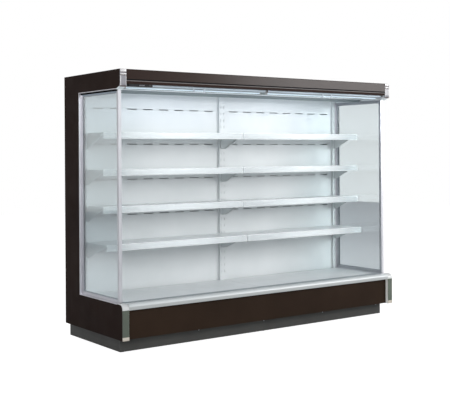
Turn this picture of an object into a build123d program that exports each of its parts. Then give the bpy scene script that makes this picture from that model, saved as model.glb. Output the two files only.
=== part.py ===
from build123d import *

import os
from math import cos, radians, sin

# An open multideck display fridge of the remote type: an insulated tub, back and
# roof, two end walls with windows, four levels of shelves in two bays, a lit canopy
# with an air discharge grille, and night blinds that pull down over the front.
# +X runs along the fridge, -Y is the shopper's side, +Z is up, and the origin is
# the middle of the footprint on the floor. All sizes are in millimetres.

os.makedirs("parts", exist_ok=True)

# ---- driving sizes -------------------------------------------------------------
overall_length = 2660
overall_depth = 900
overall_height = 2000
end_thickness = 50
sheet = 1.2  # folded steel sheet
skin = 0.8  # steel skins of the foamed walls
seam = 0.5  # gap between fixed panels that only butt together
rest_gap = 0.3  # gap under a loose piece where it rests

plinth_height = 100
kick_setback = 110  # behind the front of the corner strips
kick_inset = 38  # in from each end
kick_corner = 14  # the front plate folds round each corner this far
kick_lift = 2
foot_height = 36
foot_radius = 20
foot_stem_radius = 7
foot_stem_length = 52
foot_stem_play = 0.1
foot_nut_width = 19
foot_nut_height = 7
foot_pad_height = 9
rail_width = 44
rail_wall = 2.5
frame_bays = 4

tub_wall = 42
tub_floor = 46
tub_fall = 16  # the floor falls this much towards the drain channel
tub_height = 240
drain_bore_radius = 21
drain_channel_setback = 330
drain_offset = 120  # from the middle of the fridge
tub_corner_radius = 20
rear_wall_thickness = 70
rear_duct_depth = 155  # cold air space in front of the rear wall
rear_field_depth = 4
rear_fields = 4
rear_field_margin = 30
roof_thickness = 60
roof_front_setback = 110

front_recess = 28  # front panel behind the corner strips
front_fold = 24
arm_rise = 10  # lower arm above the tub's rim
bumper_height = 45
bumper_depth = 54
bumper_radius = 24
bumper_edge_radius = 2
bumper_foot_radius = 5
bumper_wall = 1.5
strip_return = 10
strip_wall = 3
strip_radius = 2
strip_lift = 2
cap_height = 54
cap_tail = 24
cap_edge_radius = 1
arm_nose_radius = 33
arm_chin_radius = 26
arm_chin_rise = 22

window_liner_gap = 20  # window in front of the rear duct panels
upper_arm_drop = 138  # below the top of the canopy
frame_rail = 24  # seen from the side
frame_width = 24  # along the fridge
frame_offset = 18  # from the outer face of the end wall to the frame
post_setback = 83
frame_corner_radius = 6
pane_thickness = 16
pane_gap = 8  # sealed space between the two sheets of glass
pane_seal = 7
pane_bite = 8

fascia_setback = 22
fascia_wall = 2.5
fascia_height = 103
bevel_height = 30
bevel_lean = 7
groove_depth = 3
groove_height = 3
fascia_top_radius = 6
lip_return = 18
lip_radius = 1
end_cap_wall = 4
end_cap_radius = 2
cap_lap = 2  # the end cap laps this far onto the front of the window

duct_foot = 45  # the rear duct panels start this far below the deck
duct_slot_length = 90
duct_slot_width = 7
duct_slot_pitch = 146
duct_slot_margin = 60
duct_slot_drop = 82.5  # below each shelf level
ceiling_drop = 100
ceiling_fold = 20
rail_strip_depth = 15
rail_strip_height = 22
rail_strip_wall = 2
rail_strip_radius = 3
discharge_setback = 88
discharge_length_y = 242
discharge_thickness = 20
discharge_hang = 18  # underside below the ceiling
discharge_border = 12
discharge_solid_front = 44
discharge_pitch = 32
discharge_bar = 8
lamp_width = 30
lamp_height = 12
lamp_wall = 1.5
lamp_radius = 5
lamp_end_gap = 36

upright_width = 30
upright_depth = 18
slot_pitch = 55
slot_height = 20
slot_width = 5
first_slot_rise = 70  # middle of the lowest slot above the deck
slot_top_margin = 100

shelf_levels = 4
slots_per_level = 5
shelf_above_slot = 48  # shelf above the slot that its bracket hooks into
shelf_depths = (338, 293, 293, 293)
shelf_rear_gap = 12
shelf_side_gap = 4
shelf_flange = 20
shelf_hem_radius = 4
flange_notch = 16  # the side flanges end this far in front of the hem
price_strip_height = 50
price_strip_above = 4
price_strip_depth = 7
strip_lean = 2
strip_hook = 6
strip_bead_radius = 2
strip_edge_radius = 1
shelf_tip_angle = 18

bracket_thickness = 3
bracket_heel = 100
bracket_heel_depth = 30
bracket_belly_radius = 60
bracket_corner = 4
bracket_toe = 20
bracket_front_gap = 46
bracket_notch = 12  # room for the shelf's hem in front of its axis
hook_neck = 10
hook_leg = 8
hook_thickness = 3
hook_play = 0.3

deck_drop = 5  # below the top of the lower arm
deck_fold = 26
deck_setback = 162
deck_bead_width = 24
deck_bead_height = 4
deck_bead_margin = 90
deck_beads = 3
deck_ledge = 14
return_pitch = 25
return_slot_width = 11
return_slot_length = 78

plenum_setback = 300
fan_count = 4
fan_head = 38  # from the fans' openings up to the deck
fan_sill = 17  # from the drain line up to the fans' openings
fan_tip_gap = 5
fan_ring_wall = 3
fan_ring_depth = 34
fan_hub_radius = 21
fan_hub_length = 24
fan_blades = 5
fan_blade_thickness = 2.2
fan_hub_chamfer = 4
fan_blade_root = 12
fan_blade_chord = 40
fan_blade_camber = 6
fan_blade_pitch = 33
motor_radius = 24
motor_length = 34
motor_gap = 3
shaft_radius = 3
shaft_play = 0.05
spider_arm_width = 8
spider_arm_thickness = 4

coil_end_room = 160  # for the return bends and the pipes
coil_depth = 200
coil_gap = 80  # behind the fan plenum
coil_lift = 36  # above the drain line
coil_top_gap = 7.5
coil_plate = 3
coil_fin_pitch = 80
coil_fin = 5
coil_web = 5  # wall along the middle that carries the fins
tube_radius = 6
tube_sides = 8
tube_rows = 4
tube_pitch = 46
tube_from_edge = 38.4
bend_reach = 8
coil_plate_lap = 5
suction_radius = 14.3
liquid_radius = 7.95
stub_setback = 90  # suction pipe from the end wall's inner face
stub_rear_gap = 60
stub_pitch = 45
stub_drop = 40  # ends below the tub
suction_bend = 34
liquid_bend = 19
pipe_sides = 12
pipe_bore_play = 1.5
socket_length = 34  # bell at the end of each pipe, for brazing the line into
socket_depth = 30
socket_wall = 1.2
socket_play = 0.1

drain_radius = 20
drain_wall = 2.5
drain_flange_radius = 32
drain_flange_thickness = 3
drain_drop = 48

controller_length = 196
controller_height = 18
controller_depth = 22
controller_offset = 22  # from the end wall's inner face
display_length = 64
display_height = 11
display_depth = 1.5
display_offset = 44
button_count = 3
button_rear_room = 3
button_face = 1.5  # wall in front of the button's flange
switch_from_end = 20
controller_radius = 3
button_radius = 4
button_pitch = 16
button_proud = 1.6
button_travel = 0.8
button_flange = 1.2
button_flange_thickness = 1.5
button_play = 0.3
switch_length = 20
switch_height = 12
switch_depth = 8
switch_throw = 12
switch_room = 4
switch_pin_radius = 1.5
switch_pin_length = 2
switch_edge = 1

roller_setback = 78
roller_rise = 5  # roller's axis above the underside of the roof
roll_radius = 18
roller_pin_radius = 5
roller_pin_length = 7.5
roller_pin_play = 0.05
blind_bracket = 3
blind_ear = 11  # from the roller's axis to the bracket's edge
blind_ear_rise = 45
fabric_thickness = 0.6
blind_bar_depth = 12
blind_bar_tuck = 9  # up behind the fascia's lip
blind_bar_height = 24
blind_bar_radius = 3
blind_end_gap = 8
fabric_inset = 4
grip_width = 110
grip_height = 26
grip_wall = 4
grip_rim_side = 14
grip_rim_end = 5
cable_hole_radius = 10.25
cable_hole_from_end = 160
cable_hole_from_roof = 40

# ---- places worked out from them -----------------------------------------------
half_length = overall_length / 2
body_half = half_length - end_thickness
front_y = -overall_depth / 2
rear_y = overall_depth / 2
kick_y = front_y + kick_setback
kick_half = half_length - kick_inset
panel_y = front_y + front_recess
tub_front = panel_y + sheet + seam
tub_inner = tub_front + tub_wall
tub_top = plinth_height + tub_height
drain_floor = plinth_height + tub_floor
rim_floor = drain_floor + tub_fall
back_inner = rear_y - rear_wall_thickness
liner_face = back_inner - rear_duct_depth
lower_arm_top = tub_top + arm_rise
upper_arm_bottom = overall_height - upper_arm_drop
fascia_bottom = overall_height - fascia_height
ceiling_height = overall_height - ceiling_drop
drain_y = back_inner - drain_channel_setback
roof_bottom = overall_height - roof_thickness
roof_front = front_y + roof_front_setback
arm_front = front_y + strip_return
strip_base = plinth_height + strip_lift
cap_top = lower_arm_top + end_cap_wall
cap_base = cap_top - cap_height
bumper_bottom = cap_top - bumper_height
bumper_rear = front_y + bumper_depth
window_front = front_y + post_setback
window_rear = liner_face - window_liner_gap
fascia_y = front_y + fascia_setback
chin_y = fascia_y + end_cap_wall
chin_z = upper_arm_bottom + arm_chin_rise
upright_face = liner_face - upright_depth
shelf_pitch = slots_per_level * slot_pitch
hem_y = upright_face - shelf_rear_gap - shelf_hem_radius
deck_top = lower_arm_top - deck_drop
deck_front = front_y + deck_setback
deck_seat = deck_top - deck_fold - rest_gap
fan_bore_radius = (deck_top - fan_head - drain_floor - fan_sill) / 2
fan_height = deck_top - fan_head - fan_bore_radius
fan_blade_tip = fan_bore_radius - fan_tip_gap
panel_half = body_half - seam
plenum_y = front_y + plenum_setback
slot_base = deck_top + first_slot_rise
lowest_shelf_top = slot_base + slots_per_level * slot_pitch + shelf_above_slot
roller_y = front_y + roller_setback
roller_z = roof_bottom + roller_rise
blind_bar_top = fascia_bottom + blind_bar_tuck
sides = {"left": -1, "right": 1}


def floor_height(y):
    """Height of the tub's floor, which falls to the drain line from both sides."""
    if y < drain_y:
        return drain_floor + tub_fall * (drain_y - y) / (drain_y - tub_inner)
    return drain_floor + tub_fall * min(1, (y - drain_y) / (upright_face - drain_y))


def shelf_top(level):
    """Height of the carrying face of a shelf level, counted from 1."""
    return lowest_shelf_top + (level - 1) * shelf_pitch


def bay_span(side):
    """Lowest and highest X of the bay between the end wall and the middle."""
    return sorted((0, side * body_half))


def finish(builder, name):
    """Labels a finished piece and writes it to its own file."""
    builder.part.label = name
    export_step(builder.part, f"parts/{name}.step")


# ---- base frame and feet -------------------------------------------------------
frame_half = kick_half - sheet - seam
frame_front = kick_y + sheet + seam
frame_length_y = rear_y - kick_corner - frame_front
frame_mid_y = frame_front + frame_length_y / 2
frame_bay_length = (2 * frame_half - (frame_bays + 1) * rail_width) / frame_bays
foot_places_x = (frame_half - rail_width / 2, 0, -(frame_half - rail_width / 2))
foot_reach_y = frame_length_y - rail_width
foot_locations = [
    Location((x, frame_mid_y + turn * foot_reach_y / 2, 0))
    for x in foot_places_x
    for turn in (-1, 1)
]

with BuildPart() as base_frame:
    for inset, mode in ((0, Mode.ADD), (rail_wall, Mode.SUBTRACT)):
        with BuildSketch(Plane.XY.offset(foot_height + inset)):
            with Locations((0, frame_mid_y)):
                Rectangle(2 * (frame_half - inset), frame_length_y - 2 * inset)
                with GridLocations(frame_bay_length + rail_width, 1, frame_bays, 1):
                    Rectangle(
                        frame_bay_length + 2 * inset,
                        frame_length_y - 2 * rail_width + 2 * inset,
                        mode=Mode.SUBTRACT,
                    )
        extrude(amount=plinth_height - foot_height - 2 * inset, mode=mode)
    with BuildSketch(Plane.XY.offset(foot_height)):
        with Locations(*foot_locations):
            Circle(foot_stem_radius + foot_stem_play)
    extrude(amount=rail_wall, mode=Mode.SUBTRACT)
finish(base_frame, "base_frame")

with BuildPart() as levelling_feet:
    with BuildSketch(Plane.XY):
        with Locations(*foot_locations):
            Circle(foot_radius)
    extrude(amount=foot_pad_height)
    with BuildSketch(Plane.XY.offset(foot_pad_height)):
        with Locations(*foot_locations):
            Circle(foot_stem_radius)
    extrude(amount=foot_stem_length - foot_pad_height)
    with BuildSketch(Plane.XY.offset(foot_height - foot_nut_height)):
        with Locations(*foot_locations):
            RegularPolygon(foot_nut_width / 2, 6, major_radius=False)
    extrude(amount=foot_nut_height)
finish(levelling_feet, "levelling_feet")

# ---- kick plates round the plinth ----------------------------------------------
kick_height = plinth_height - seam - kick_lift

with BuildPart() as kick_plate_front:
    with BuildSketch(Plane.XY.offset(kick_lift)):
        with BuildLine():
            FilletPolyline(
                (-kick_half, kick_y + kick_corner),
                (-kick_half, kick_y),
                (kick_half, kick_y),
                (kick_half, kick_y + kick_corner),
                (kick_half - sheet, kick_y + kick_corner),
                (kick_half - sheet, kick_y + sheet),
                (sheet - kick_half, kick_y + sheet),
                (sheet - kick_half, kick_y + kick_corner),
                radius=(0, sheet, sheet, 0, 0, 0, 0, 0),
                close=True,
            )
        make_face()
    extrude(amount=kick_height)
finish(kick_plate_front, "kick_plate_front")

with BuildPart() as kick_plate_sides:
    side_start = kick_y + kick_corner + seam
    with BuildSketch(Plane.XY.offset(kick_lift)):
        with Locations((0, (side_start + rear_y) / 2)):
            with GridLocations(2 * kick_half - sheet, 1, 2, 1):
                Rectangle(sheet, rear_y - side_start)
    extrude(amount=kick_height)
finish(kick_plate_sides, "kick_plate_sides")

# ---- insulated tub, back and roof ----------------------------------------------
toe_top = strip_base + sheet + seam
toe_rear = panel_y + sheet + front_fold + seam
step_y = bumper_rear + seam
step_z = bumper_bottom - seam
pipe_x = body_half - stub_setback
pipe_y = back_inner - stub_rear_gap
liquid_x = pipe_x - stub_pitch

tub_outline = (
    (tub_front, toe_top),
    (toe_rear, toe_top),
    (toe_rear, plinth_height),
    (rear_y, plinth_height),
    (rear_y, tub_top),
    (back_inner, tub_top),
    (back_inner, rim_floor),
    (upright_face, rim_floor),
    (drain_y, drain_floor),
    (tub_inner, rim_floor),
    (tub_inner, tub_top),
    (step_y, tub_top),
    (step_y, step_z),
    (tub_front, step_z),
)
tub_corners = (0, 0, 0, 0, 0, 0, tub_corner_radius, 0, 0, tub_corner_radius, 0, 0, 0, 0)
tub_holes = (
    (drain_offset, drain_y, drain_bore_radius),
    (pipe_x, pipe_y, suction_radius + pipe_bore_play),
    (liquid_x, pipe_y, liquid_radius + pipe_bore_play),
)


def foam_core(outline, corners, start_x, length, sleeves=()):
    """Foam between the skins of a wall, held away from each sleeved hole."""
    with BuildPart() as core:
        with BuildSketch(Plane.YZ.offset(start_x + skin)):
            with BuildLine():
                FilletPolyline(*outline, radius=corners, close=True)
            face = make_face(mode=Mode.PRIVATE)
            offset(face, amount=-skin, kind=Kind.INTERSECTION)
        extrude(amount=length - 2 * skin)
        for hole_x, hole_y, radius in sleeves:
            with BuildSketch(Plane.XY):
                with Locations((hole_x, hole_y)):
                    Circle(radius + skin)
            extrude(amount=overall_height, mode=Mode.SUBTRACT)
    return core


with BuildPart() as insulated_tub:
    with BuildSketch(Plane.YZ.offset(-body_half)):
        with BuildLine():
            FilletPolyline(*tub_outline, radius=tub_corners, close=True)
        make_face()
    extrude(amount=2 * body_half)
    tub_foam = foam_core(tub_outline, tub_corners, -body_half, 2 * body_half, tub_holes)
    add(tub_foam.part, mode=Mode.SUBTRACT)
    with BuildSketch(Plane.XY.offset(plinth_height)):
        for hole_x, hole_y, radius in tub_holes:
            with Locations((hole_x, hole_y)):
                Circle(radius)
    extrude(amount=tub_height, mode=Mode.SUBTRACT)
finish(insulated_tub, "insulated_tub")

drain_end = plinth_height - drain_drop

with BuildPart() as drain_outlet:
    with BuildSketch(Plane.XY.offset(drain_end)):
        with Locations((drain_offset, drain_y)):
            Circle(drain_radius)
            Circle(drain_radius - drain_wall, mode=Mode.SUBTRACT)
    extrude(amount=drain_floor - drain_end)
    with BuildSketch(Plane.XY.offset(plinth_height - drain_flange_thickness)):
        with Locations((drain_offset, drain_y)):
            Circle(drain_flange_radius)
            Circle(drain_radius - drain_wall, mode=Mode.SUBTRACT)
    extrude(amount=drain_flange_thickness)
finish(drain_outlet, "drain_outlet")

rear_wall_height = roof_bottom - tub_top
rear_field_length = (2 * body_half - (rear_fields + 1) * rear_field_margin) / rear_fields

with BuildPart() as rear_wall:
    with BuildSketch(Plane.XZ.offset(-rear_y)):
        with Locations((0, (tub_top + roof_bottom) / 2)):
            Rectangle(2 * body_half, rear_wall_height)
    extrude(amount=rear_wall_thickness)
    with BuildSketch(Plane.XZ.offset(-rear_y)):
        with Locations((0, (tub_top + roof_bottom) / 2)):
            with GridLocations(rear_field_length + rear_field_margin, 1, rear_fields, 1):
                Rectangle(rear_field_length, rear_wall_height - 2 * rear_field_margin)
    extrude(amount=rear_field_depth, mode=Mode.SUBTRACT)
    with BuildSketch(Plane.XZ.offset(rear_field_depth + skin - rear_y)):
        with Locations((0, (tub_top + roof_bottom) / 2)):
            Rectangle(2 * (body_half - skin), rear_wall_height - 2 * skin)
    extrude(amount=rear_wall_thickness - rear_field_depth - 2 * skin, mode=Mode.SUBTRACT)
finish(rear_wall, "rear_wall")

blind_ears = (
    (-body_half, blind_bracket),
    (-blind_bracket, 2 * blind_bracket),
    (body_half - blind_bracket, blind_bracket),
)

with BuildPart() as top_panel:
    with BuildSketch(Plane.XY.offset(roof_bottom)):
        with Locations((0, (roof_front + rear_y) / 2)):
            Rectangle(2 * body_half, rear_y - roof_front)
    extrude(amount=roof_thickness)
    with BuildSketch(Plane.XY.offset(roof_bottom + skin)):
        with Locations((0, (roof_front + rear_y) / 2)):
            Rectangle(2 * (body_half - skin), rear_y - roof_front - 2 * skin)
    extrude(amount=roof_thickness - 2 * skin, mode=Mode.SUBTRACT)
    for place, width in blind_ears:
        with BuildSketch(Plane.YZ.offset(place)):
            with BuildLine():
                FilletPolyline(
                    (roof_front, roller_z + blind_ear_rise),
                    (roller_y - blind_ear, roller_z + blind_ear),
                    (roller_y - blind_ear, roller_z - blind_ear),
                    (roof_front, roof_bottom),
                    radius=(0, blind_ear, blind_ear, 0),
                    close=True,
                )
            make_face()
        extrude(amount=width)
    with BuildSketch(Plane.YZ.offset(-body_half)):
        with Locations((roller_y, roller_z)):
            Circle(roller_pin_radius + roller_pin_play)
    extrude(amount=2 * body_half, mode=Mode.SUBTRACT)
finish(top_panel, "top_panel")


# ---- end walls, their glass and its frame --------------------------------------
end_outline = (
    (rear_y, plinth_height),
    (rear_y, overall_height),
    (chin_y, overall_height),
    (chin_y, chin_z),
    (window_front, upper_arm_bottom),
    (window_rear, upper_arm_bottom),
    (window_rear, lower_arm_top),
    (arm_front, lower_arm_top),
    (arm_front, plinth_height),
)
end_corners = (0, 0, 0, arm_chin_radius, 0, 0, 0, arm_nose_radius, 0)


def end_panel(side):
    """C-shaped insulated end wall, open towards the front round its window."""
    start_x = min(side * half_length, side * body_half)
    with BuildPart() as panel:
        with BuildSketch(Plane.YZ.offset(start_x)):
            with BuildLine():
                FilletPolyline(*end_outline, radius=end_corners, close=True)
            make_face()
        extrude(amount=end_thickness)
    return panel


def window_outline(inset):
    """Corners of a rectangle this far inside the window's opening."""
    return (
        (window_front + inset, lower_arm_top + inset),
        (window_rear - inset, lower_arm_top + inset),
        (window_rear - inset, upper_arm_bottom - inset),
        (window_front + inset, upper_arm_bottom - inset),
    )


def side_glass(side):
    """Sealed pane that sits in the grooves of the window frame."""
    middle = side * (half_length - frame_offset - frame_width / 2)
    with BuildPart() as pane:
        with BuildSketch(Plane.YZ.offset(middle - pane_thickness / 2)):
            with BuildLine():
                Polyline(*window_outline(frame_rail - pane_bite), close=True)
            make_face()
        extrude(amount=pane_thickness)
        with BuildSketch(Plane.YZ.offset(middle - pane_gap / 2)):
            with BuildLine():
                Polyline(*window_outline(frame_rail - pane_bite + pane_seal), close=True)
            make_face()
        extrude(amount=pane_gap, mode=Mode.SUBTRACT)
    return pane


def glass_frame(side):
    """Aluminium frame of post and rails, grooved for the pane."""
    middle = side * (half_length - frame_offset - frame_width / 2)
    with BuildPart() as surround:
        with BuildSketch(Plane.YZ.offset(middle - frame_width / 2)):
            with BuildLine():
                Polyline(*window_outline(0), close=True)
            make_face()
            with BuildLine():
                FilletPolyline(*window_outline(frame_rail), radius=frame_corner_radius, close=True)
            make_face(mode=Mode.SUBTRACT)
        extrude(amount=frame_width)
        with BuildSketch(Plane.YZ.offset(middle - pane_thickness / 2)):
            with BuildLine():
                Polyline(*window_outline(frame_rail - pane_bite), close=True)
            make_face()
        extrude(amount=pane_thickness, mode=Mode.SUBTRACT)
    return surround


end_panels = {}
for side_name, side in sides.items():
    end_panels[side_name] = end_panel(side)
    start_x = min(side * half_length, side * body_half)
    with BuildPart() as foamed_end:
        add(end_panels[side_name].part)
        add(foam_core(end_outline, end_corners, start_x, end_thickness).part, mode=Mode.SUBTRACT)
    finish(foamed_end, f"end_panel_{side_name}")
    finish(side_glass(side), f"side_glass_{side_name}")
    finish(glass_frame(side), f"glass_frame_{side_name}")

# ---- front panel, bumper and corner trims --------------------------------------
with BuildPart() as front_panel:
    with BuildSketch(Plane.YZ.offset(-panel_half)):
        with BuildLine():
            FilletPolyline(
                (panel_y + sheet, step_z),
                (panel_y, step_z),
                (panel_y, strip_base),
                (toe_rear - seam, strip_base),
                (toe_rear - seam, strip_base + sheet),
                (panel_y + sheet, strip_base + sheet),
                radius=(0, 0, sheet, 0, 0, 0),
                close=True,
            )
        make_face()
    extrude(amount=2 * panel_half)
finish(front_panel, "front_panel")

with BuildPart() as bumper_rail:
    with BuildSketch(Plane.YZ.offset(-panel_half)):
        with BuildLine():
            FilletPolyline(
                (bumper_rear, cap_top),
                (front_y, cap_top),
                (front_y, bumper_bottom),
                (bumper_rear, bumper_bottom),
                radius=(bumper_edge_radius, bumper_radius, bumper_foot_radius, bumper_edge_radius),
                close=True,
            )
        shell = make_face()
        offset(shell, amount=-bumper_wall, mode=Mode.SUBTRACT)
    extrude(amount=2 * panel_half)
finish(bumper_rail, "bumper_rail")

with BuildPart() as corner_strips:
    with BuildSketch(Plane.XY.offset(strip_base)):
        with BuildLine():
            FilletPolyline(
                (half_length, arm_front),
                (half_length, front_y),
                (body_half, front_y),
                (body_half, arm_front),
                (body_half + strip_wall, arm_front),
                (body_half + strip_wall, front_y + strip_wall),
                (half_length - strip_wall, front_y + strip_wall),
                (half_length - strip_wall, arm_front),
                radius=(0, strip_radius, strip_radius, 0, 0, 0, 0, 0),
                close=True,
            )
        make_face()
    extrude(amount=cap_base - strip_base)
    mirror(about=Plane.YZ)
finish(corner_strips, "corner_strips")

with BuildPart() as corner_caps:
    tail_y = arm_front + arm_nose_radius + cap_tail
    with BuildSketch(Plane.YZ.offset(body_half)):
        with BuildLine():
            FilletPolyline(
                (arm_front, cap_base),
                (front_y, cap_base),
                (front_y, cap_top),
                (tail_y, cap_top),
                (tail_y, lower_arm_top),
                (arm_front, lower_arm_top),
                radius=(0, 0, arm_nose_radius + end_cap_wall, cap_edge_radius, 0, arm_nose_radius),
                close=True,
            )
        make_face()
    extrude(amount=end_thickness)
    mirror(about=Plane.YZ)
finish(corner_caps, "corner_caps")

# ---- canopy: fascia, end caps, ceiling and discharge grille ---------------------
bevel_top = fascia_bottom + bevel_height
groove_top = bevel_top + groove_height
fascia_inner = fascia_y + fascia_wall
groove_inner = fascia_inner + groove_depth
lip_y = fascia_y + bevel_lean
lip_rear = lip_y + lip_return
lip_top = fascia_bottom + fascia_wall

with BuildPart() as canopy_fascia:
    with BuildSketch(Plane.YZ.offset(-panel_half)):
        with BuildLine():
            FilletPolyline(
                (roof_front - seam, overall_height),
                (fascia_y, overall_height),
                (fascia_y, groove_top),
                (fascia_y + groove_depth, groove_top),
                (fascia_y + groove_depth, bevel_top),
                (fascia_y, bevel_top),
                (lip_y, fascia_bottom),
                (lip_rear, fascia_bottom),
                (lip_rear, lip_top),
                (lip_y + fascia_wall, lip_top),
                (groove_inner, bevel_top),
                (groove_inner, groove_top + fascia_wall),
                (fascia_inner, groove_top + fascia_wall),
                (fascia_inner, overall_height - sheet),
                (roof_front - seam, overall_height - sheet),
                radius=(0, fascia_top_radius, 0, 0, 0, 0, lip_radius, 0, 0, 0, 0, 0, 0, sheet, 0),
                close=True,
            )
        make_face()
    extrude(amount=2 * panel_half)
    with BuildSketch(Plane.XY.offset(overall_height - sheet)):
        with Locations((body_half - cable_hole_from_end, roof_front - cable_hole_from_roof)):
            Circle(cable_hole_radius)
    extrude(amount=sheet, mode=Mode.SUBTRACT)
finish(canopy_fascia, "canopy_fascia")

with BuildPart() as fascia_end_caps:
    with BuildSketch(Plane.YZ.offset(body_half)):
        with BuildLine():
            FilletPolyline(
                (window_front - cap_lap, overall_height),
                (fascia_y, overall_height),
                (fascia_y, chin_z - end_cap_wall),
                (window_front - cap_lap, upper_arm_bottom - end_cap_wall),
                radius=(0, end_cap_radius, arm_chin_radius + end_cap_wall, 0),
                close=True,
            )
        make_face()
    extrude(amount=end_thickness)
    add(end_panels["right"].part, mode=Mode.SUBTRACT)
    mirror(about=Plane.YZ)
finish(fascia_end_caps, "fascia_end_caps")

discharge_bottom = ceiling_height - discharge_hang
discharge_front = front_y + discharge_setback
rail_strip_front = discharge_front + discharge_length_y
discharge_rear = rail_strip_front + rail_strip_depth

with BuildPart() as canopy_ceiling:
    with BuildSketch(Plane.YZ.offset(-panel_half)):
        with BuildLine():
            Polyline(
                (liner_face, ceiling_height),
                (liner_face, ceiling_height + sheet),
                (discharge_rear, ceiling_height + sheet),
                (discharge_rear, ceiling_height + sheet - ceiling_fold),
                (discharge_rear + sheet, ceiling_height + sheet - ceiling_fold),
                (discharge_rear + sheet, ceiling_height),
                close=True,
            )
        make_face()
    extrude(amount=2 * panel_half)
finish(canopy_ceiling, "canopy_ceiling")

rail_strip_bottom = ceiling_height + sheet - ceiling_fold - rail_strip_height

with BuildPart() as discharge_rail:
    with BuildSketch(Plane.YZ.offset(-panel_half)):
        with BuildLine():
            FilletPolyline(
                (rail_strip_front, rail_strip_bottom),
                (discharge_rear, rail_strip_bottom),
                (discharge_rear, discharge_bottom + discharge_thickness),
                (rail_strip_front, discharge_bottom + discharge_thickness),
                radius=(rail_strip_radius, rail_strip_radius, 0, 0),
                close=True,
            )
        shell = make_face()
        offset(shell, amount=-rail_strip_wall, kind=Kind.INTERSECTION, mode=Mode.SUBTRACT)
    extrude(amount=2 * panel_half)
finish(discharge_rail, "discharge_rail")

discharge_cell_y = discharge_length_y - discharge_solid_front - discharge_border
discharge_cells = int((2 * body_half - 2 * discharge_border) // discharge_pitch)

with BuildPart() as air_discharge_grille:
    with BuildSketch(Plane.XY.offset(discharge_bottom)):
        with Locations((0, (discharge_front + rail_strip_front) / 2)):
            Rectangle(2 * panel_half, discharge_length_y)
        with Locations((0, rail_strip_front - discharge_border - discharge_cell_y / 2)):
            with GridLocations(discharge_pitch, 1, discharge_cells, 1):
                Rectangle(discharge_pitch - discharge_bar, discharge_cell_y, mode=Mode.SUBTRACT)
    extrude(amount=discharge_thickness)
finish(air_discharge_grille, "air_discharge_grille")

with BuildPart() as led_light_bars:
    lamp_y = discharge_front + discharge_solid_front / 2
    lamp_length = body_half - 2 * lamp_end_gap
    with BuildSketch(Plane.YZ.offset(lamp_end_gap)):
        with BuildLine():
            FilletPolyline(
                (lamp_y - lamp_width / 2, discharge_bottom),
                (lamp_y - lamp_width / 2, discharge_bottom - lamp_height),
                (lamp_y + lamp_width / 2, discharge_bottom - lamp_height),
                (lamp_y + lamp_width / 2, discharge_bottom),
                radius=(0, lamp_radius, lamp_radius, 0),
                close=True,
            )
        shell = make_face()
        offset(shell, amount=-lamp_wall, kind=Kind.INTERSECTION, mode=Mode.SUBTRACT)
    extrude(amount=lamp_length)
    mirror(about=Plane.YZ)
finish(led_light_bars, "led_light_bars")

# ---- rear duct panels, slotted uprights and shelf brackets ----------------------
duct_top = ceiling_height + sheet
duct_bottom = deck_top - duct_foot
duct_slot_columns = int((body_half - 2 * duct_slot_margin) // duct_slot_pitch) + 1

with BuildPart() as rear_duct_panels:
    for side in sides.values():
        low_x, high_x = bay_span(side)
        with BuildSketch(Plane.XZ.offset(-liner_face - sheet)):
            with Locations(((low_x + high_x) / 2, (duct_bottom + duct_top) / 2)):
                Rectangle(body_half - seam, duct_top - duct_bottom)
        extrude(amount=sheet)
        for level in range(shelf_levels + 1):
            row_height = shelf_top(level + 1) - duct_slot_drop
            with BuildSketch(Plane.XZ.offset(-liner_face - sheet)):
                with Locations(((low_x + high_x) / 2, row_height)):
                    with GridLocations(duct_slot_pitch, 1, duct_slot_columns, 1):
                        Rectangle(duct_slot_length, duct_slot_width)
            extrude(amount=sheet, mode=Mode.SUBTRACT)
finish(rear_duct_panels, "rear_duct_panels")

outer_upright = body_half - upright_width / 2
upright_places = (-outer_upright, -upright_width / 2, upright_width / 2, outer_upright)
slot_count = int((ceiling_height - slot_top_margin - slot_base) // slot_pitch) + 1


def slot_height_at(index):
    """Middle height of one slot of the uprights."""
    return slot_base + index * slot_pitch


with BuildPart() as slotted_uprights:
    for place in upright_places:
        with BuildSketch(Plane.XY.offset(rim_floor)):
            with Locations((place, upright_face + upright_depth / 2)):
                Rectangle(upright_width, upright_depth)
            with Locations((place, upright_face + sheet + upright_depth / 2)):
                Rectangle(upright_width - 2 * sheet, upright_depth, mode=Mode.SUBTRACT)
        extrude(amount=ceiling_height - rim_floor)
    with BuildSketch(Plane.XZ.offset(-upright_face - sheet)):
        for place in upright_places:
            for index in range(slot_count):
                with Locations((place, slot_height_at(index))):
                    Rectangle(slot_width, slot_height)
    extrude(amount=sheet, mode=Mode.SUBTRACT)
finish(slotted_uprights, "slotted_uprights")


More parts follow.
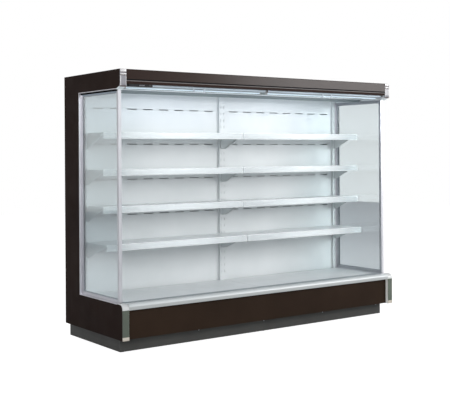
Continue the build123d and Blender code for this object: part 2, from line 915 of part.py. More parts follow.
def shelf_brackets(level):
    """Four tapered brackets whose hooks drop behind the uprights' slots."""
    top = shelf_top(level)
    hem_z = top - shelf_flange
    rest_z = top - sheet - rest_gap
    heel_z = hem_z - bracket_heel
    toe_y = upright_face - shelf_depths[level - 1] + bracket_front_gap
    notch_y = hem_y - bracket_notch
    neck_base = slot_height_at(slots_per_level * level) - slot_height / 2
    tooth_base = neck_base - slot_pitch
    leg_front = upright_face + sheet + hook_play
    leg_back = leg_front + hook_thickness
    with BuildPart() as brackets:
        for place in upright_places:
            with BuildSketch(Plane.YZ.offset(place - bracket_thickness / 2)):
                with BuildLine():
                    FilletPolyline(
                        (upright_face, hem_z),
                        (upright_face, heel_z),
                        (upright_face - bracket_heel_depth, heel_z),
                        (toe_y, rest_z - bracket_toe),
                        (toe_y, rest_z),
                        (notch_y, rest_z),
                        (notch_y, hem_z),
                        radius=(0, 0, bracket_belly_radius, bracket_corner, 0, 0, 0),
                        close=True,
                    )
                make_face()
                with Locations((hem_y, hem_z)):
                    Circle(shelf_hem_radius + rest_gap, mode=Mode.SUBTRACT)
                with BuildLine():
                    Polyline(
                        (upright_face - hook_thickness, neck_base),
                        (leg_front, neck_base),
                        (leg_front, neck_base - hook_leg),
                        (leg_back, neck_base - hook_leg),
                        (leg_back, neck_base + hook_neck),
                        (upright_face - hook_thickness, neck_base + hook_neck),
                        close=True,
                    )
                make_face()
                with BuildLine():
                    Polyline(
                        (upright_face - hook_thickness, tooth_base),
                        (leg_back, tooth_base),
                        (leg_back, tooth_base + hook_neck),
                        (upright_face - hook_thickness, tooth_base + hook_neck),
                        close=True,
                    )
                make_face()
            extrude(amount=bracket_thickness)
    return brackets


for level in range(1, shelf_levels + 1):
    finish(shelf_brackets(level), f"shelf_brackets_{level}")


# ---- shelves -------------------------------------------------------------------
def shelf(level, side):
    """Folded shelf pan with a rolled rear hem and a clipped-on price strip."""
    top = shelf_top(level)
    hem_z = top - shelf_flange
    under = top - sheet
    front = upright_face - shelf_depths[level - 1]
    lip_y = front + price_strip_depth
    strip_top = top + price_strip_above
    strip_foot = strip_top - price_strip_height
    low_x, high_x = bay_span(side)
    low_x += shelf_side_gap
    high_x -= shelf_side_gap
    middle_x = (low_x + high_x) / 2
    with BuildPart() as pan:
        with BuildSketch(Plane.YZ.offset(low_x)):
            with BuildLine():
                Polyline(
                    (lip_y, top),
                    (hem_y + sheet / 2, top),
                    (hem_y + sheet / 2, hem_z),
                    (hem_y - sheet / 2, hem_z),
                    (hem_y - sheet / 2, under),
                    (lip_y + sheet, under),
                    (lip_y + sheet, strip_foot + strip_hook / 2),
                    (lip_y, strip_foot + strip_hook / 2),
                    close=True,
                )
            make_face()
            with Locations((hem_y, hem_z)):
                Circle(shelf_hem_radius)
            with BuildLine():
                FilletPolyline(
                    (lip_y, strip_top),
                    (front + strip_lean, strip_top),
                    (front, strip_foot),
                    (lip_y, strip_foot),
                    (lip_y, strip_foot + strip_hook),
                    (lip_y - strip_wall, strip_foot + strip_hook),
                    (lip_y - strip_wall, strip_top - strip_hook),
                    (lip_y, strip_top - strip_hook),
                    radius=(
                        strip_edge_radius,
                        strip_bead_radius,
                        strip_bead_radius,
                        strip_edge_radius,
                        0,
                        0,
                        0,
                        0,
                    ),
                    close=True,
                )
            make_face()
        extrude(amount=high_x - low_x)
        flange_length = hem_y - flange_notch - lip_y
        with BuildSketch(Plane.XY.offset(hem_z)):
            with Locations((middle_x, lip_y + flange_length / 2)):
                with GridLocations(high_x - low_x - sheet, 1, 2, 1):
                    Rectangle(sheet, flange_length)
        extrude(amount=shelf_flange - sheet)
    return pan


for level in range(1, shelf_levels + 1):
    for side_name, side in sides.items():
        finish(shelf(level, side), f"shelf_{level}_{side_name}")


# ---- deck trays and return grille ----------------------------------------------
def deck_tray(side):
    """Lift-out deck pan with folded edges and pressed stiffening beads."""
    low_x, high_x = bay_span(side)
    low_x += shelf_side_gap / 2
    high_x -= shelf_side_gap / 2
    rear = upright_face - shelf_side_gap
    width = high_x - low_x
    depth = rear - deck_front
    middle = ((low_x + high_x) / 2, (deck_front + rear) / 2)
    with BuildPart() as tray:
        with BuildSketch(Plane.XY.offset(deck_top - deck_fold)):
            with Locations(middle):
                Rectangle(width, depth)
        extrude(amount=deck_fold)
        with BuildSketch(Plane.XY.offset(deck_top - deck_fold)):
            with Locations(middle):
                Rectangle(width - 2 * sheet, depth - 2 * sheet)
        extrude(amount=deck_fold - sheet, mode=Mode.SUBTRACT)
        with BuildSketch(Plane.XY.offset(deck_top - sheet - deck_bead_height)):
            with Locations(middle):
                with GridLocations(1, depth / (deck_beads + 1), 1, deck_beads):
                    Rectangle(width - 2 * deck_bead_margin, deck_bead_width)
        extrude(amount=deck_bead_height)
    return tray


for side_name, side in sides.items():
    finish(deck_tray(side), f"deck_tray_{side_name}")

return_rear = deck_front - 2 * seam
return_slots = int(2 * body_half // return_pitch) - 1

with BuildPart() as air_return_grille:
    with BuildSketch(Plane.YZ.offset(-panel_half)):
        with BuildLine():
            Polyline(
                (step_y, tub_top),
                (step_y, deck_top),
                (return_rear, deck_top),
                (return_rear, deck_seat),
                (return_rear + deck_ledge, deck_seat),
                (return_rear + deck_ledge, deck_seat - sheet),
                (return_rear - sheet, deck_seat - sheet),
                (return_rear - sheet, deck_top - sheet),
                (step_y + sheet, deck_top - sheet),
                (step_y + sheet, tub_top),
                close=True,
            )
        make_face()
    extrude(amount=2 * panel_half)
    with BuildSketch(Plane.XY.offset(deck_top - sheet)):
        with Locations((0, (step_y + return_rear) / 2)):
            with GridLocations(return_pitch, 1, return_slots, 1):
                Rectangle(return_slot_width, return_slot_length)
    extrude(amount=sheet, mode=Mode.SUBTRACT)
finish(air_return_grille, "air_return_grille")

# ---- fans under the deck -------------------------------------------------------
fan_bay = 2 * body_half / fan_count
fan_places = [(index - (fan_count - 1) / 2) * fan_bay for index in range(fan_count)]
ring_outer = fan_bore_radius + fan_ring_wall
hub_front = plenum_y - fan_ring_depth
hub_rear = hub_front + fan_hub_length
motor_front = hub_rear + motor_gap

with BuildPart() as fan_plenum:
    plenum_foot = floor_height(plenum_y) + seam
    with BuildSketch(Plane.YZ.offset(-panel_half)):
        with BuildLine():
            Polyline(
                (plenum_y, plenum_foot),
                (plenum_y, deck_seat),
                (upright_face - seam, deck_seat),
                (upright_face - seam, deck_seat - sheet),
                (plenum_y + sheet, deck_seat - sheet),
                (plenum_y + sheet, plenum_foot),
                close=True,
            )
        make_face()
    extrude(amount=2 * panel_half)
    with BuildSketch(Plane.XZ.offset(-plenum_y - sheet)):
        with Locations(*[(place, fan_height) for place in fan_places]):
            Circle(fan_bore_radius)
    extrude(amount=sheet, mode=Mode.SUBTRACT)
finish(fan_plenum, "fan_plenum")


with BuildPart() as fan_housings:
    for place in fan_places:
        with BuildSketch(Plane.XZ.offset(-plenum_y)):
            with Locations((place, fan_height)):
                Circle(ring_outer)
                Circle(fan_bore_radius, mode=Mode.SUBTRACT)
        extrude(amount=fan_ring_depth)
        with BuildSketch(Plane.XZ.offset(-motor_front - spider_arm_thickness)):
            with Locations((place, fan_height)):
                with PolarLocations(fan_bore_radius / 2, 3, start_angle=90):
                    Rectangle(fan_bore_radius + fan_ring_wall, spider_arm_width)
        extrude(amount=spider_arm_thickness)
        with BuildSketch(Plane.XZ.offset(-motor_front - motor_length)):
            with Locations((place, fan_height)):
                Circle(motor_radius)
        extrude(amount=motor_length)
        with BuildSketch(Plane.XZ.offset(-motor_front)):
            with Locations((place, fan_height)):
                Circle(shaft_radius)
        extrude(amount=motor_gap + fan_hub_length / 2)
finish(fan_housings, "fan_housings")


def fan_impeller(place):
    """Hub with cambered blades, each set across the air stream at the same pitch."""
    centre = Vector(place, hub_front + fan_hub_length / 2, fan_height)
    with BuildPart() as impeller:
        with BuildSketch(Plane.XZ.offset(-hub_rear)):
            with Locations((place, fan_height)):
                Circle(fan_hub_radius)
        extrude(amount=fan_hub_length)
        chamfer(impeller.edges().filter_by(GeomType.CIRCLE).sort_by(Axis.Y)[0], length=fan_hub_chamfer)
        for blade in range(fan_blades):
            turn = radians(360 * blade / fan_blades)
            outward = Vector(cos(turn), 0, sin(turn))
            along = Vector(-sin(turn), 0, cos(turn))
            chord_way = along * cos(radians(fan_blade_pitch)) + Vector(0, 1, 0) * sin(radians(fan_blade_pitch))
            root = centre + outward * fan_blade_root
            with BuildSketch(Plane(root, x_dir=chord_way, z_dir=outward)):
                with BuildLine():
                    crown = ThreePointArc(
                        (-fan_blade_chord / 2, 0), (0, fan_blade_camber), (fan_blade_chord / 2, 0)
                    )
                    belly = ThreePointArc(
                        (-fan_blade_chord / 2, -fan_blade_thickness),
                        (0, fan_blade_camber - fan_blade_thickness),
                        (fan_blade_chord / 2, -fan_blade_thickness),
                    )
                    Line(crown @ 0, belly @ 0)
                    Line(crown @ 1, belly @ 1)
                make_face()
            extrude(amount=fan_blade_tip - fan_blade_root)
        with BuildSketch(Plane.XZ.offset(-hub_rear)):
            with Locations((place, fan_height)):
                Circle(shaft_radius + shaft_play)
        extrude(amount=fan_hub_length / 2 + seam, mode=Mode.SUBTRACT)
    return impeller


for index, place in enumerate(fan_places, start=1):
    finish(fan_impeller(place), f"fan_impeller_{index}")

# ---- evaporator and its pipes ---------------------------------------------------
coil_front = plenum_y + coil_gap
coil_rear = coil_front + coil_depth
coil_bottom = drain_floor + coil_lift
coil_top = deck_seat - sheet - coil_top_gap
coil_height = coil_top - coil_bottom
coil_middle = (coil_front + coil_rear) / 2
coil_half = body_half - coil_end_room
coil_length = 2 * coil_half
coil_gaps = int(coil_length // coil_fin_pitch)
lower_tubes = coil_bottom + tube_from_edge
upper_tubes = coil_top - tube_from_edge
plate_outer = coil_half + coil_plate


def tube_row(index):
    """Y of one row of tubes, counted from the front of the coil."""
    return coil_middle + (index - (tube_rows - 1) / 2) * tube_pitch


return_bends = (
    (-1, 0, lower_tubes),
    (-1, 2, lower_tubes),
    (-1, 0, upper_tubes),
    (-1, 2, upper_tubes),
    (1, 0, lower_tubes),
    (1, 0, upper_tubes),
    (1, 2, upper_tubes),
)

with BuildPart() as evaporator_coil:
    with BuildSketch(Plane.XY.offset(coil_bottom)):
        with Locations((0, coil_middle)):
            Rectangle(coil_length, coil_depth)
            with GridLocations(coil_fin_pitch, coil_depth, coil_gaps, 2):
                Rectangle(coil_fin_pitch - coil_fin, coil_depth - coil_web, mode=Mode.SUBTRACT)
    extrude(amount=coil_height)
    for side in sides.values():
        plate_front = coil_front - coil_plate_lap
        plate_rear = coil_rear + coil_plate_lap
        with BuildSketch(Plane.YZ.offset(min(side * coil_half, side * plate_outer))):
            with BuildLine():
                Polyline(
                    (plate_front, floor_height(plate_front) + seam),
                    (drain_y, drain_floor + seam),
                    (plate_rear, floor_height(plate_rear) + seam),
                    (plate_rear, coil_top),
                    (plate_front, coil_top),
                    close=True,
                )
            make_face()
        extrude(amount=coil_plate)
    for side, first_row, height in return_bends:
        row_y = tube_row(first_row)
        next_y = tube_row(first_row + 1)
        start_x = side * coil_half
        turn_x = side * (plate_outer + bend_reach)
        crown_x = turn_x + side * tube_pitch / 2
        with BuildLine() as hairpin:
            Line((start_x, row_y, height), (turn_x, row_y, height))
            ThreePointArc(
                (turn_x, row_y, height), (crown_x, row_y + tube_pitch / 2, height), (turn_x, next_y, height)
            )
            Line((turn_x, next_y, height), (start_x, next_y, height))
        with BuildSketch(Plane((start_x, row_y, height), x_dir=(0, 1, 0), z_dir=(side, 0, 0))):
            RegularPolygon(tube_radius, tube_sides)
        sweep(path=hairpin.wires()[0])
finish(evaporator_coil, "evaporator_coil")

stub_end = plinth_height - stub_drop
pipe_routes = (
    (suction_radius, suction_bend, pipe_x, tube_row(3), lower_tubes),
    (liquid_radius, liquid_bend, liquid_x, tube_row(2), (lower_tubes + upper_tubes) / 2),
)

with BuildPart() as pipe_stubs:
    for radius, bend, stub_x, row_y, height in pipe_routes:
        with BuildLine() as route:
            FilletPolyline(
                (stub_x, pipe_y, stub_end),
                (stub_x, pipe_y, height),
                (stub_x, row_y, height),
                (plate_outer, row_y, height),
                radius=bend,
            )
        with BuildSketch(Plane((stub_x, pipe_y, stub_end), x_dir=(1, 0, 0), z_dir=(0, 0, 1))):
            RegularPolygon(radius, pipe_sides)
        sweep(path=route.wires()[0])
        with BuildSketch(Plane.XY.offset(stub_end)):
            with Locations((stub_x, pipe_y)):
                Circle(radius + socket_play + socket_wall)
        extrude(amount=socket_length)
        with BuildSketch(Plane.XY.offset(stub_end)):
            with Locations((stub_x, pipe_y)):
                Circle(radius + socket_play)
        extrude(amount=socket_depth, mode=Mode.SUBTRACT)
finish(pipe_stubs, "pipe_stubs")

# ---- controller under the canopy's left end -------------------------------------
controller_x = -body_half + controller_offset
controller_mid_z = fascia_bottom - controller_height / 2
display_x = controller_x + display_offset
switch_x = controller_x + controller_length - switch_from_end
switch_y = lip_y + switch_depth / 2
first_button_x = display_x + display_length / 2 + button_pitch
button_places = [first_button_x + index * button_pitch for index in range(button_count)]
flange_y = lip_y + button_face + button_play
button_room = 2 * button_play + button_travel + button_flange_thickness + button_face + button_rear_room

with BuildPart() as controller_housing:
    with BuildSketch(Plane.XZ.offset(-lip_y - controller_depth)):
        with Locations((controller_x + controller_length / 2, controller_mid_z)):
            RectangleRounded(controller_length, controller_height, controller_radius)
    extrude(amount=controller_depth)
    with BuildSketch(Plane.XZ.offset(-lip_y)):
        with Locations((display_x, controller_mid_z)):
            Rectangle(display_length, display_height)
    extrude(amount=-display_depth, mode=Mode.SUBTRACT)
    with BuildSketch(Plane.XZ.offset(-lip_y)):
        with Locations(*[(place, controller_mid_z) for place in button_places]):
            Circle(button_radius + button_play)
    extrude(amount=-button_room, mode=Mode.SUBTRACT)
    with BuildSketch(Plane.XZ.offset(-lip_y - button_face)):
        with Locations(*[(place, controller_mid_z) for place in button_places]):
            Circle(button_radius + button_flange + button_play)
    extrude(amount=button_face - button_room, mode=Mode.SUBTRACT)
    with BuildSketch(Plane.XZ.offset(-lip_y)):
        with Locations((switch_x, controller_mid_z)):
            Rectangle(switch_length + 2 * button_play, switch_height)
    extrude(amount=-(switch_depth + switch_room), mode=Mode.SUBTRACT)
    with BuildSketch(Plane.YZ.offset(switch_x - switch_length / 2 - switch_pin_length - seam)):
        with Locations((switch_y, controller_mid_z)):
            Circle(switch_pin_radius + shaft_play)
    extrude(amount=switch_length + 2 * (switch_pin_length + seam), mode=Mode.SUBTRACT)
finish(controller_housing, "controller_housing")


def controller_button(place):
    """Round key held in by a flange behind the housing's face."""
    with BuildPart() as button:
        with BuildSketch(Plane.XZ.offset(-flange_y)):
            with Locations((place, controller_mid_z)):
                Circle(button_radius)
        extrude(amount=flange_y - lip_y + button_proud)
        with BuildSketch(Plane.XZ.offset(-flange_y - button_flange_thickness)):
            with Locations((place, controller_mid_z)):
                Circle(button_radius + button_flange)
        extrude(amount=button_flange_thickness)
    return button


for index, place in enumerate(button_places, start=1):
    finish(controller_button(place), f"controller_button_{index}")

with BuildPart() as light_switch:
    rocker_half = switch_height / 2 - switch_edge
    rocker_rear = switch_y + switch_pin_radius + switch_edge
    rocker_lean = rocker_half * sin(radians(switch_throw / 2))
    with BuildSketch(Plane.YZ.offset(switch_x - switch_length / 2)):
        with BuildLine():
            FilletPolyline(
                (switch_y - switch_depth / 2 - rocker_lean, controller_mid_z + rocker_half),
                (switch_y - switch_depth / 2 + rocker_lean, controller_mid_z - rocker_half),
                (rocker_rear, controller_mid_z - rocker_half + switch_edge),
                (rocker_rear, controller_mid_z + rocker_half - switch_edge),
                radius=(switch_edge, switch_edge, 0, 0),
                close=True,
            )
        make_face()
    extrude(amount=switch_length)
    with BuildSketch(Plane.YZ.offset(switch_x - switch_length / 2 - switch_pin_length)):
        with Locations((switch_y, controller_mid_z)):
            Circle(switch_pin_radius)
    extrude(amount=switch_length + 2 * switch_pin_length)
finish(light_switch, "light_switch")


# ---- night blinds --------------------------------------------------------------
def blind_span(side):
    """Lowest and highest X of a bay's blind, inside its roller brackets."""
    low_x, high_x = bay_span(side)
    return low_x + blind_end_gap, high_x - blind_end_gap


def blind_roller(side):
    """Roll of blind on its tube, with a pin at each end."""
    low_x, high_x = blind_span(side)
    with BuildPart() as roller:
        with BuildSketch(Plane.YZ.offset(low_x)):
            with Locations((roller_y, roller_z)):
                Circle(roll_radius)
        extrude(amount=high_x - low_x)
        with BuildSketch(Plane.YZ.offset(low_x - roller_pin_length)):
            with Locations((roller_y, roller_z)):
                Circle(roller_pin_radius)
        extrude(amount=high_x - low_x + 2 * roller_pin_length)
    return roller


def blind_fabric(side):
    """The stretch of blind between the roll and the pull bar, blind up."""
    low_x, high_x = blind_span(side)
    with BuildPart() as fabric:
        with BuildSketch(Plane.YZ.offset(low_x + fabric_inset)):
            with Locations((fabric_y, (blind_bar_top + roller_z) / 2)):
                Rectangle(fabric_thickness, roller_z - blind_bar_top)
        extrude(amount=high_x - low_x - 2 * fabric_inset)
    return fabric


def blind_bar(side):
    """Pull bar of the blind with a finger grip under its middle."""
    low_x, high_x = blind_span(side)
    grip_top = blind_bar_top - blind_bar_height + grip_rim_end
    grip_middle = ((low_x + high_x) / 2, grip_top - grip_height / 2)
    with BuildPart() as bar:
        with BuildSketch(Plane.YZ.offset(low_x)):
            with Locations((fabric_y, blind_bar_top - blind_bar_height / 2)):
                RectangleRounded(blind_bar_depth, blind_bar_height, blind_bar_radius)
        extrude(amount=high_x - low_x)
        with BuildSketch(Plane.XZ.offset(-fabric_y - grip_wall / 2)):
            with Locations(grip_middle):
                RectangleRounded(grip_width, grip_height, grip_rim_end)
                Rectangle(grip_width - 2 * grip_rim_side, grip_height - 2 * grip_rim_end, mode=Mode.SUBTRACT)
        extrude(amount=grip_wall)
    return bar


fabric_y = roller_y - roll_radius - fabric_thickness
for side_name, side in sides.items():
    finish(blind_roller(side), f"blind_roller_{side_name}")
    finish(blind_fabric(side), f"blind_fabric_{side_name}")
    finish(blind_bar(side), f"blind_bar_{side_name}")
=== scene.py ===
"""The finish of an open multideck display fridge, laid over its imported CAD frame.

X runs along the fridge, -Y is the shopper's side, +Z is up, and everything is in metres.
"""

import math

import bmesh
import bpy
from mathutils import Matrix, Vector


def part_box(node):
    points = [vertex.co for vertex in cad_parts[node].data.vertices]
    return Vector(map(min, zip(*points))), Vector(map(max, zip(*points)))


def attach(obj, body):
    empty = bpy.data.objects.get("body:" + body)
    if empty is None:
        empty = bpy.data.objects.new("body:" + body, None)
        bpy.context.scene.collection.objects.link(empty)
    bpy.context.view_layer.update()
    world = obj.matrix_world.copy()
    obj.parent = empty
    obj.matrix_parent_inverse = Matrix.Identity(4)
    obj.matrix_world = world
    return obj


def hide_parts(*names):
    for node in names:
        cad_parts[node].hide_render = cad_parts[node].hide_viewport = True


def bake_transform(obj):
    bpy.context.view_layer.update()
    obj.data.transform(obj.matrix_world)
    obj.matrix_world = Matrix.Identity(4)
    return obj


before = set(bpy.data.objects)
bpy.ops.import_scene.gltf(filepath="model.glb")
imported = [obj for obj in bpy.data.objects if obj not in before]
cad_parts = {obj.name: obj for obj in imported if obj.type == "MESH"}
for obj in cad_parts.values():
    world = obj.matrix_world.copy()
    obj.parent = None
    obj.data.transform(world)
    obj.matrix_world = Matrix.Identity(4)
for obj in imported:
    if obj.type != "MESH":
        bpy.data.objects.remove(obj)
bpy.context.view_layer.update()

MM = 0.001
X, Y, Z = range(3)  # the coordinates of a point, in order
SIDES = ("left", "right")
ENDS = (-1, 1)  # the left and the right end, as signs of X
LEVELS = (1, 2, 3, 4)

body_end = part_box("end_panel_right")[0].x  # the end walls' inner faces, either side of the middle


# ---- small helpers ---------------------------------------------------------------------

def linear(colour):
    """An sRGB hex colour as linear red, green, blue and alpha."""
    shares = [int(colour[i:i + 2], 16) / 255 for i in (1, 3, 5)]
    return [s / 12.92 if s <= 0.04045 else ((s + 0.055) / 1.055) ** 2.4 for s in shares] + [1.0]


def add_node(tree, kind, inputs=None, **settings):
    """Adds a node with its settings; an input takes a value or another node's output."""
    made = tree.nodes.new(kind)
    for name, value in settings.items():
        setattr(made, name, value)
    for socket, value in (inputs or {}).items():
        if isinstance(value, bpy.types.NodeSocket):
            tree.links.new(value, made.inputs[socket])
        else:
            made.inputs[socket].default_value = value
    return made


def start_material(name, roughness, metallic=0.0, ior=1.5, **sockets):
    """A material with its Principled shader set, and the object's own coordinates."""
    material = bpy.data.materials.new(name)
    material.use_nodes = True
    tree = material.node_tree
    shader = tree.nodes["Principled BSDF"]
    values = {"Roughness": roughness, "Metallic": metallic, "IOR": ior, **sockets}
    for socket, value in values.items():
        shader.inputs[socket].default_value = value
    place = add_node(tree, "ShaderNodeTexCoord").outputs["Object"]
    return material, tree, shader, place


def vary(tree, place, size, low, high, detail=3.0, stretch=(1, 1, 1)):
    """A cloudy pattern whose patches are size metres across, between two values."""
    scaled = add_node(tree, "ShaderNodeMapping", {"Vector": place, "Scale": stretch}).outputs[0]
    cloud = add_node(tree, "ShaderNodeTexNoise", {"Vector": scaled, "Scale": 1 / size, "Detail": detail})
    # Nearly all of a noise lies between 0.3 and 0.7, so that range is spread out.
    spread = add_node(tree, "ShaderNodeMapRange", {
        "Value": cloud.outputs["Fac"], "From Min": 0.3, "From Max": 0.7, "To Min": low, "To Max": high})
    return spread.outputs[0]


def blend_colours(tree, share, first, second):
    """A colour between two, each a hex value or another node's output."""
    ends = [linear(c) if isinstance(c, str) else c for c in (first, second)]
    # A Mix node has sockets for every kind of data: 6, 7 and output 2 are its colours.
    mixed = add_node(tree, "ShaderNodeMix", {0: share, 6: ends[0], 7: ends[1]}, data_type="RGBA")
    return mixed.outputs[2]


def above(tree, place, level, soft):
    """1 where a point of the object is higher than a level, 0 below it, soft between."""
    split = add_node(tree, "ShaderNodeSeparateXYZ", {0: place})
    step = add_node(tree, "ShaderNodeMapRange", {
        "Value": split.outputs[Z], "From Min": level - soft, "From Max": level + soft})
    return step.outputs[0]


def emboss(tree, shader, height, depth, strength):
    """Raises the surface by a height pattern, depth metres at its most."""
    bump = add_node(tree, "ShaderNodeBump", {"Height": height, "Distance": depth, "Strength": strength})
    tree.links.new(bump.outputs[0], shader.inputs["Normal"])


# ---- materials -------------------------------------------------------------------------

def powder_coat(name, colour, shade, roughness, gloss=0.5):
    """Baked polyester powder on steel: an orange peel about 2 mm across breaks up the
    gloss, drawn at 5 mm so that it shows, and the film's tone drifts a little."""
    drift_size, speck_size, sheen_size, peel_size = 0.35, 0.004, 0.12, 0.005
    sheen = 0.06
    material, tree, shader, place = start_material(name, roughness, **{"Specular IOR Level": gloss})
    tone = blend_colours(tree, vary(tree, place, drift_size, 0.0, 1.0), colour, shade)
    speck = vary(tree, place, speck_size, 0.0, 0.18, detail=1.0)
    tree.links.new(blend_colours(tree, speck, tone, shade), shader.inputs["Base Color"])
    tree.links.new(vary(tree, place, sheen_size, roughness - sheen, roughness + sheen),
                   shader.inputs["Roughness"])
    emboss(tree, shader, vary(tree, place, peel_size, 0.0, 1.0, detail=2.0), 0.05 * MM, 0.3)
    return material


def end_wall_coat(name, colour, shade, inner):
    """The end walls' dark powder coat outside, and their pale liner on the face that
    looks into the fridge."""
    material = powder_coat(name, colour, shade, 0.6, gloss=0.03)
    tree = material.node_tree
    shader = tree.nodes["Principled BSDF"]
    place = add_node(tree, "ShaderNodeTexCoord").outputs["Object"]
    outer = shader.inputs["Base Color"].links[0].from_socket
    split = add_node(tree, "ShaderNodeSeparateXYZ", {0: place})
    distance = add_node(tree, "ShaderNodeMath", {0: split.outputs[X]}, operation="ABSOLUTE")
    liner_skin = 0.4 * MM
    lining = add_node(tree, "ShaderNodeMath", {0: distance.outputs[0], 1: body_end + liner_skin},
                      operation="LESS_THAN")
    tree.links.new(blend_colours(tree, lining.outputs[0], outer, inner), shader.inputs["Base Color"])
    return material


def moulded_plastic(name, colour, shade, roughness, gloss=0.5):
    """Injection moulded or extruded plastic: a fine spark-eroded grain, drawn at 3 mm,
    and a faint flow tone."""
    flow_size, sheen_size, grain_size = 0.09, 0.06, 0.003
    material, tree, shader, place = start_material(name, roughness, ior=1.53, **{"Specular IOR Level": gloss})
    tree.links.new(blend_colours(tree, vary(tree, place, flow_size, 0.0, 1.0), colour, shade),
                   shader.inputs["Base Color"])
    tree.links.new(vary(tree, place, sheen_size, roughness - 0.02, roughness + 0.03),
                   shader.inputs["Roughness"])
    emboss(tree, shader, vary(tree, place, grain_size, 0.0, 1.0, detail=1.0), 0.03 * MM, 0.25)
    return material


def drawn_metal(name, colour, shade, roughness, along):
    """Extruded aluminium, etched and anodised: fine die lines along the bar, drawn 4 mm
    apart, that stretch each highlight, and a slightly uneven grey."""
    line_gap, patch_size = 0.004, 0.15
    material, tree, shader, place = start_material(name, roughness, metallic=1.0)
    stretch = [1.0 if axis != along else 0.01 for axis in range(3)]
    lines = vary(tree, place, line_gap, 0.0, 1.0, detail=2.0, stretch=stretch)
    patch = blend_colours(tree, vary(tree, place, patch_size, 0.0, 1.0), colour, shade)
    tree.links.new(blend_colours(tree, lines, patch, shade), shader.inputs["Base Color"])
    tree.links.new(vary(tree, place, line_gap, roughness - 0.06, roughness + 0.08, stretch=stretch),
                   shader.inputs["Roughness"])
    emboss(tree, shader, lines, 0.02 * MM, 0.4)
    return material


def bare_metal(name, colour, shade, roughness):
    """Metal left as rolled or drawn: a mottled oxide bloom dulls it in patches."""
    bloom_size, sheen_size = 0.03, 0.02
    material, tree, shader, place = start_material(name, roughness, metallic=1.0)
    bloom = vary(tree, place, bloom_size, 0.0, 1.0, detail=5.0)
    tree.links.new(blend_colours(tree, bloom, colour, shade), shader.inputs["Base Color"])
    tree.links.new(vary(tree, place, sheen_size, roughness - 0.08, roughness + 0.12),
                   shader.inputs["Roughness"])
    emboss(tree, shader, bloom, 0.03 * MM, 0.3)
    return material


def float_glass(name, tint):
    """Two sheets of clear float glass: a faint cool tint, a clean polish with the odd
    wiping mark, and lamps shine through it."""
    smear_size = 0.25
    material, tree, shader, place = start_material(name, 0.02, ior=1.52)
    shader.inputs["Base Color"].default_value = linear(tint)
    shader.inputs["Transmission Weight"].default_value = 1.0
    smear = vary(tree, place, smear_size, 0.0, 0.05, detail=2.0, stretch=(1, 1, 0.3))
    tree.links.new(smear, shader.inputs["Roughness"])
    path = add_node(tree, "ShaderNodeLightPath")
    clear = add_node(tree, "ShaderNodeBsdfTransparent", {"Color": linear(tint)})
    passing = add_node(tree, "ShaderNodeMixShader", {
        0: path.outputs["Is Shadow Ray"], 1: shader.outputs[0], 2: clear.outputs[0]})
    tree.links.new(passing.outputs[0], tree.nodes["Material Output"].inputs["Surface"])
    return material


def clear_strip(name, tint):
    """Clear extruded PVC: thin, glossy, a little milky, with die lines along its length."""
    line_gap, sheen_size = 0.006, 0.1
    material, tree, shader, place = start_material(name, 0.12, ior=1.53)
    shader.inputs["Base Color"].default_value = linear(tint)
    shader.inputs["Alpha"].default_value = 0.35
    ripple = vary(tree, place, line_gap, 0.0, 1.0, stretch=(0.02, 1, 1))
    tree.links.new(vary(tree, place, sheen_size, 0.08, 0.2), shader.inputs["Roughness"])
    emboss(tree, shader, ripple, 0.03 * MM, 0.5)
    return material


def lit_diffuser(name, colour, shade, bottom, top):
    """An opal polycarbonate lens over white lamps, in an aluminium channel: the lens
    glows evenly and the channel above it doesn't."""
    lens_share, rib_gap = 0.7, 0.003
    material, tree, shader, place = start_material(name, 0.35)
    channel = above(tree, place, bottom + lens_share * (top - bottom), 0.2 * MM)
    tree.links.new(blend_colours(tree, channel, colour, shade), shader.inputs["Base Color"])
    shader.inputs["Emission Color"].default_value = linear(colour)
    glow = add_node(tree, "ShaderNodeMapRange", {"Value": channel, "To Min": 0.3, "To Max": 0.0})
    tree.links.new(glow.outputs[0], shader.inputs["Emission Strength"])
    ribs = vary(tree, place, rib_gap, 0.0, 1.0, detail=0.0, stretch=(0.05, 1, 1))
    emboss(tree, shader, ribs, 0.03 * MM, 0.4)
    return material


def woven_screen(name, colour, shade):
    """Woven polyester with an aluminised face: warp and weft 0.6 mm apart, drawn at
    3 mm, and a dull silver sheen. Its map is in metres of cloth."""
    material, tree, shader, _ = start_material(name, 0.48, metallic=0.35)
    cloth = add_node(tree, "ShaderNodeTexCoord").outputs["UV"]
    thread, cloud_size = 3 * MM, 0.3
    bands_per_scale = 3.14  # roughly, the bands in a metre at a Scale of 1
    waves = []
    for direction in "XY":
        wave = add_node(tree, "ShaderNodeTexWave", {
            "Vector": cloth, "Scale": 1 / thread / bands_per_scale, "Distortion": 0.6, "Detail": 1.0},
            wave_type="BANDS", bands_direction=direction)
        waves.append(wave.outputs["Fac"])
    weave = add_node(tree, "ShaderNodeMath", {0: waves[0], 1: waves[1]}, operation="MULTIPLY").outputs[0]
    tone = blend_colours(tree, vary(tree, cloth, cloud_size, 0.0, 0.6), colour, shade)
    tree.links.new(blend_colours(tree, weave, shade, tone), shader.inputs["Base Color"])
    emboss(tree, shader, weave, 0.2 * MM, 0.5)
    return material


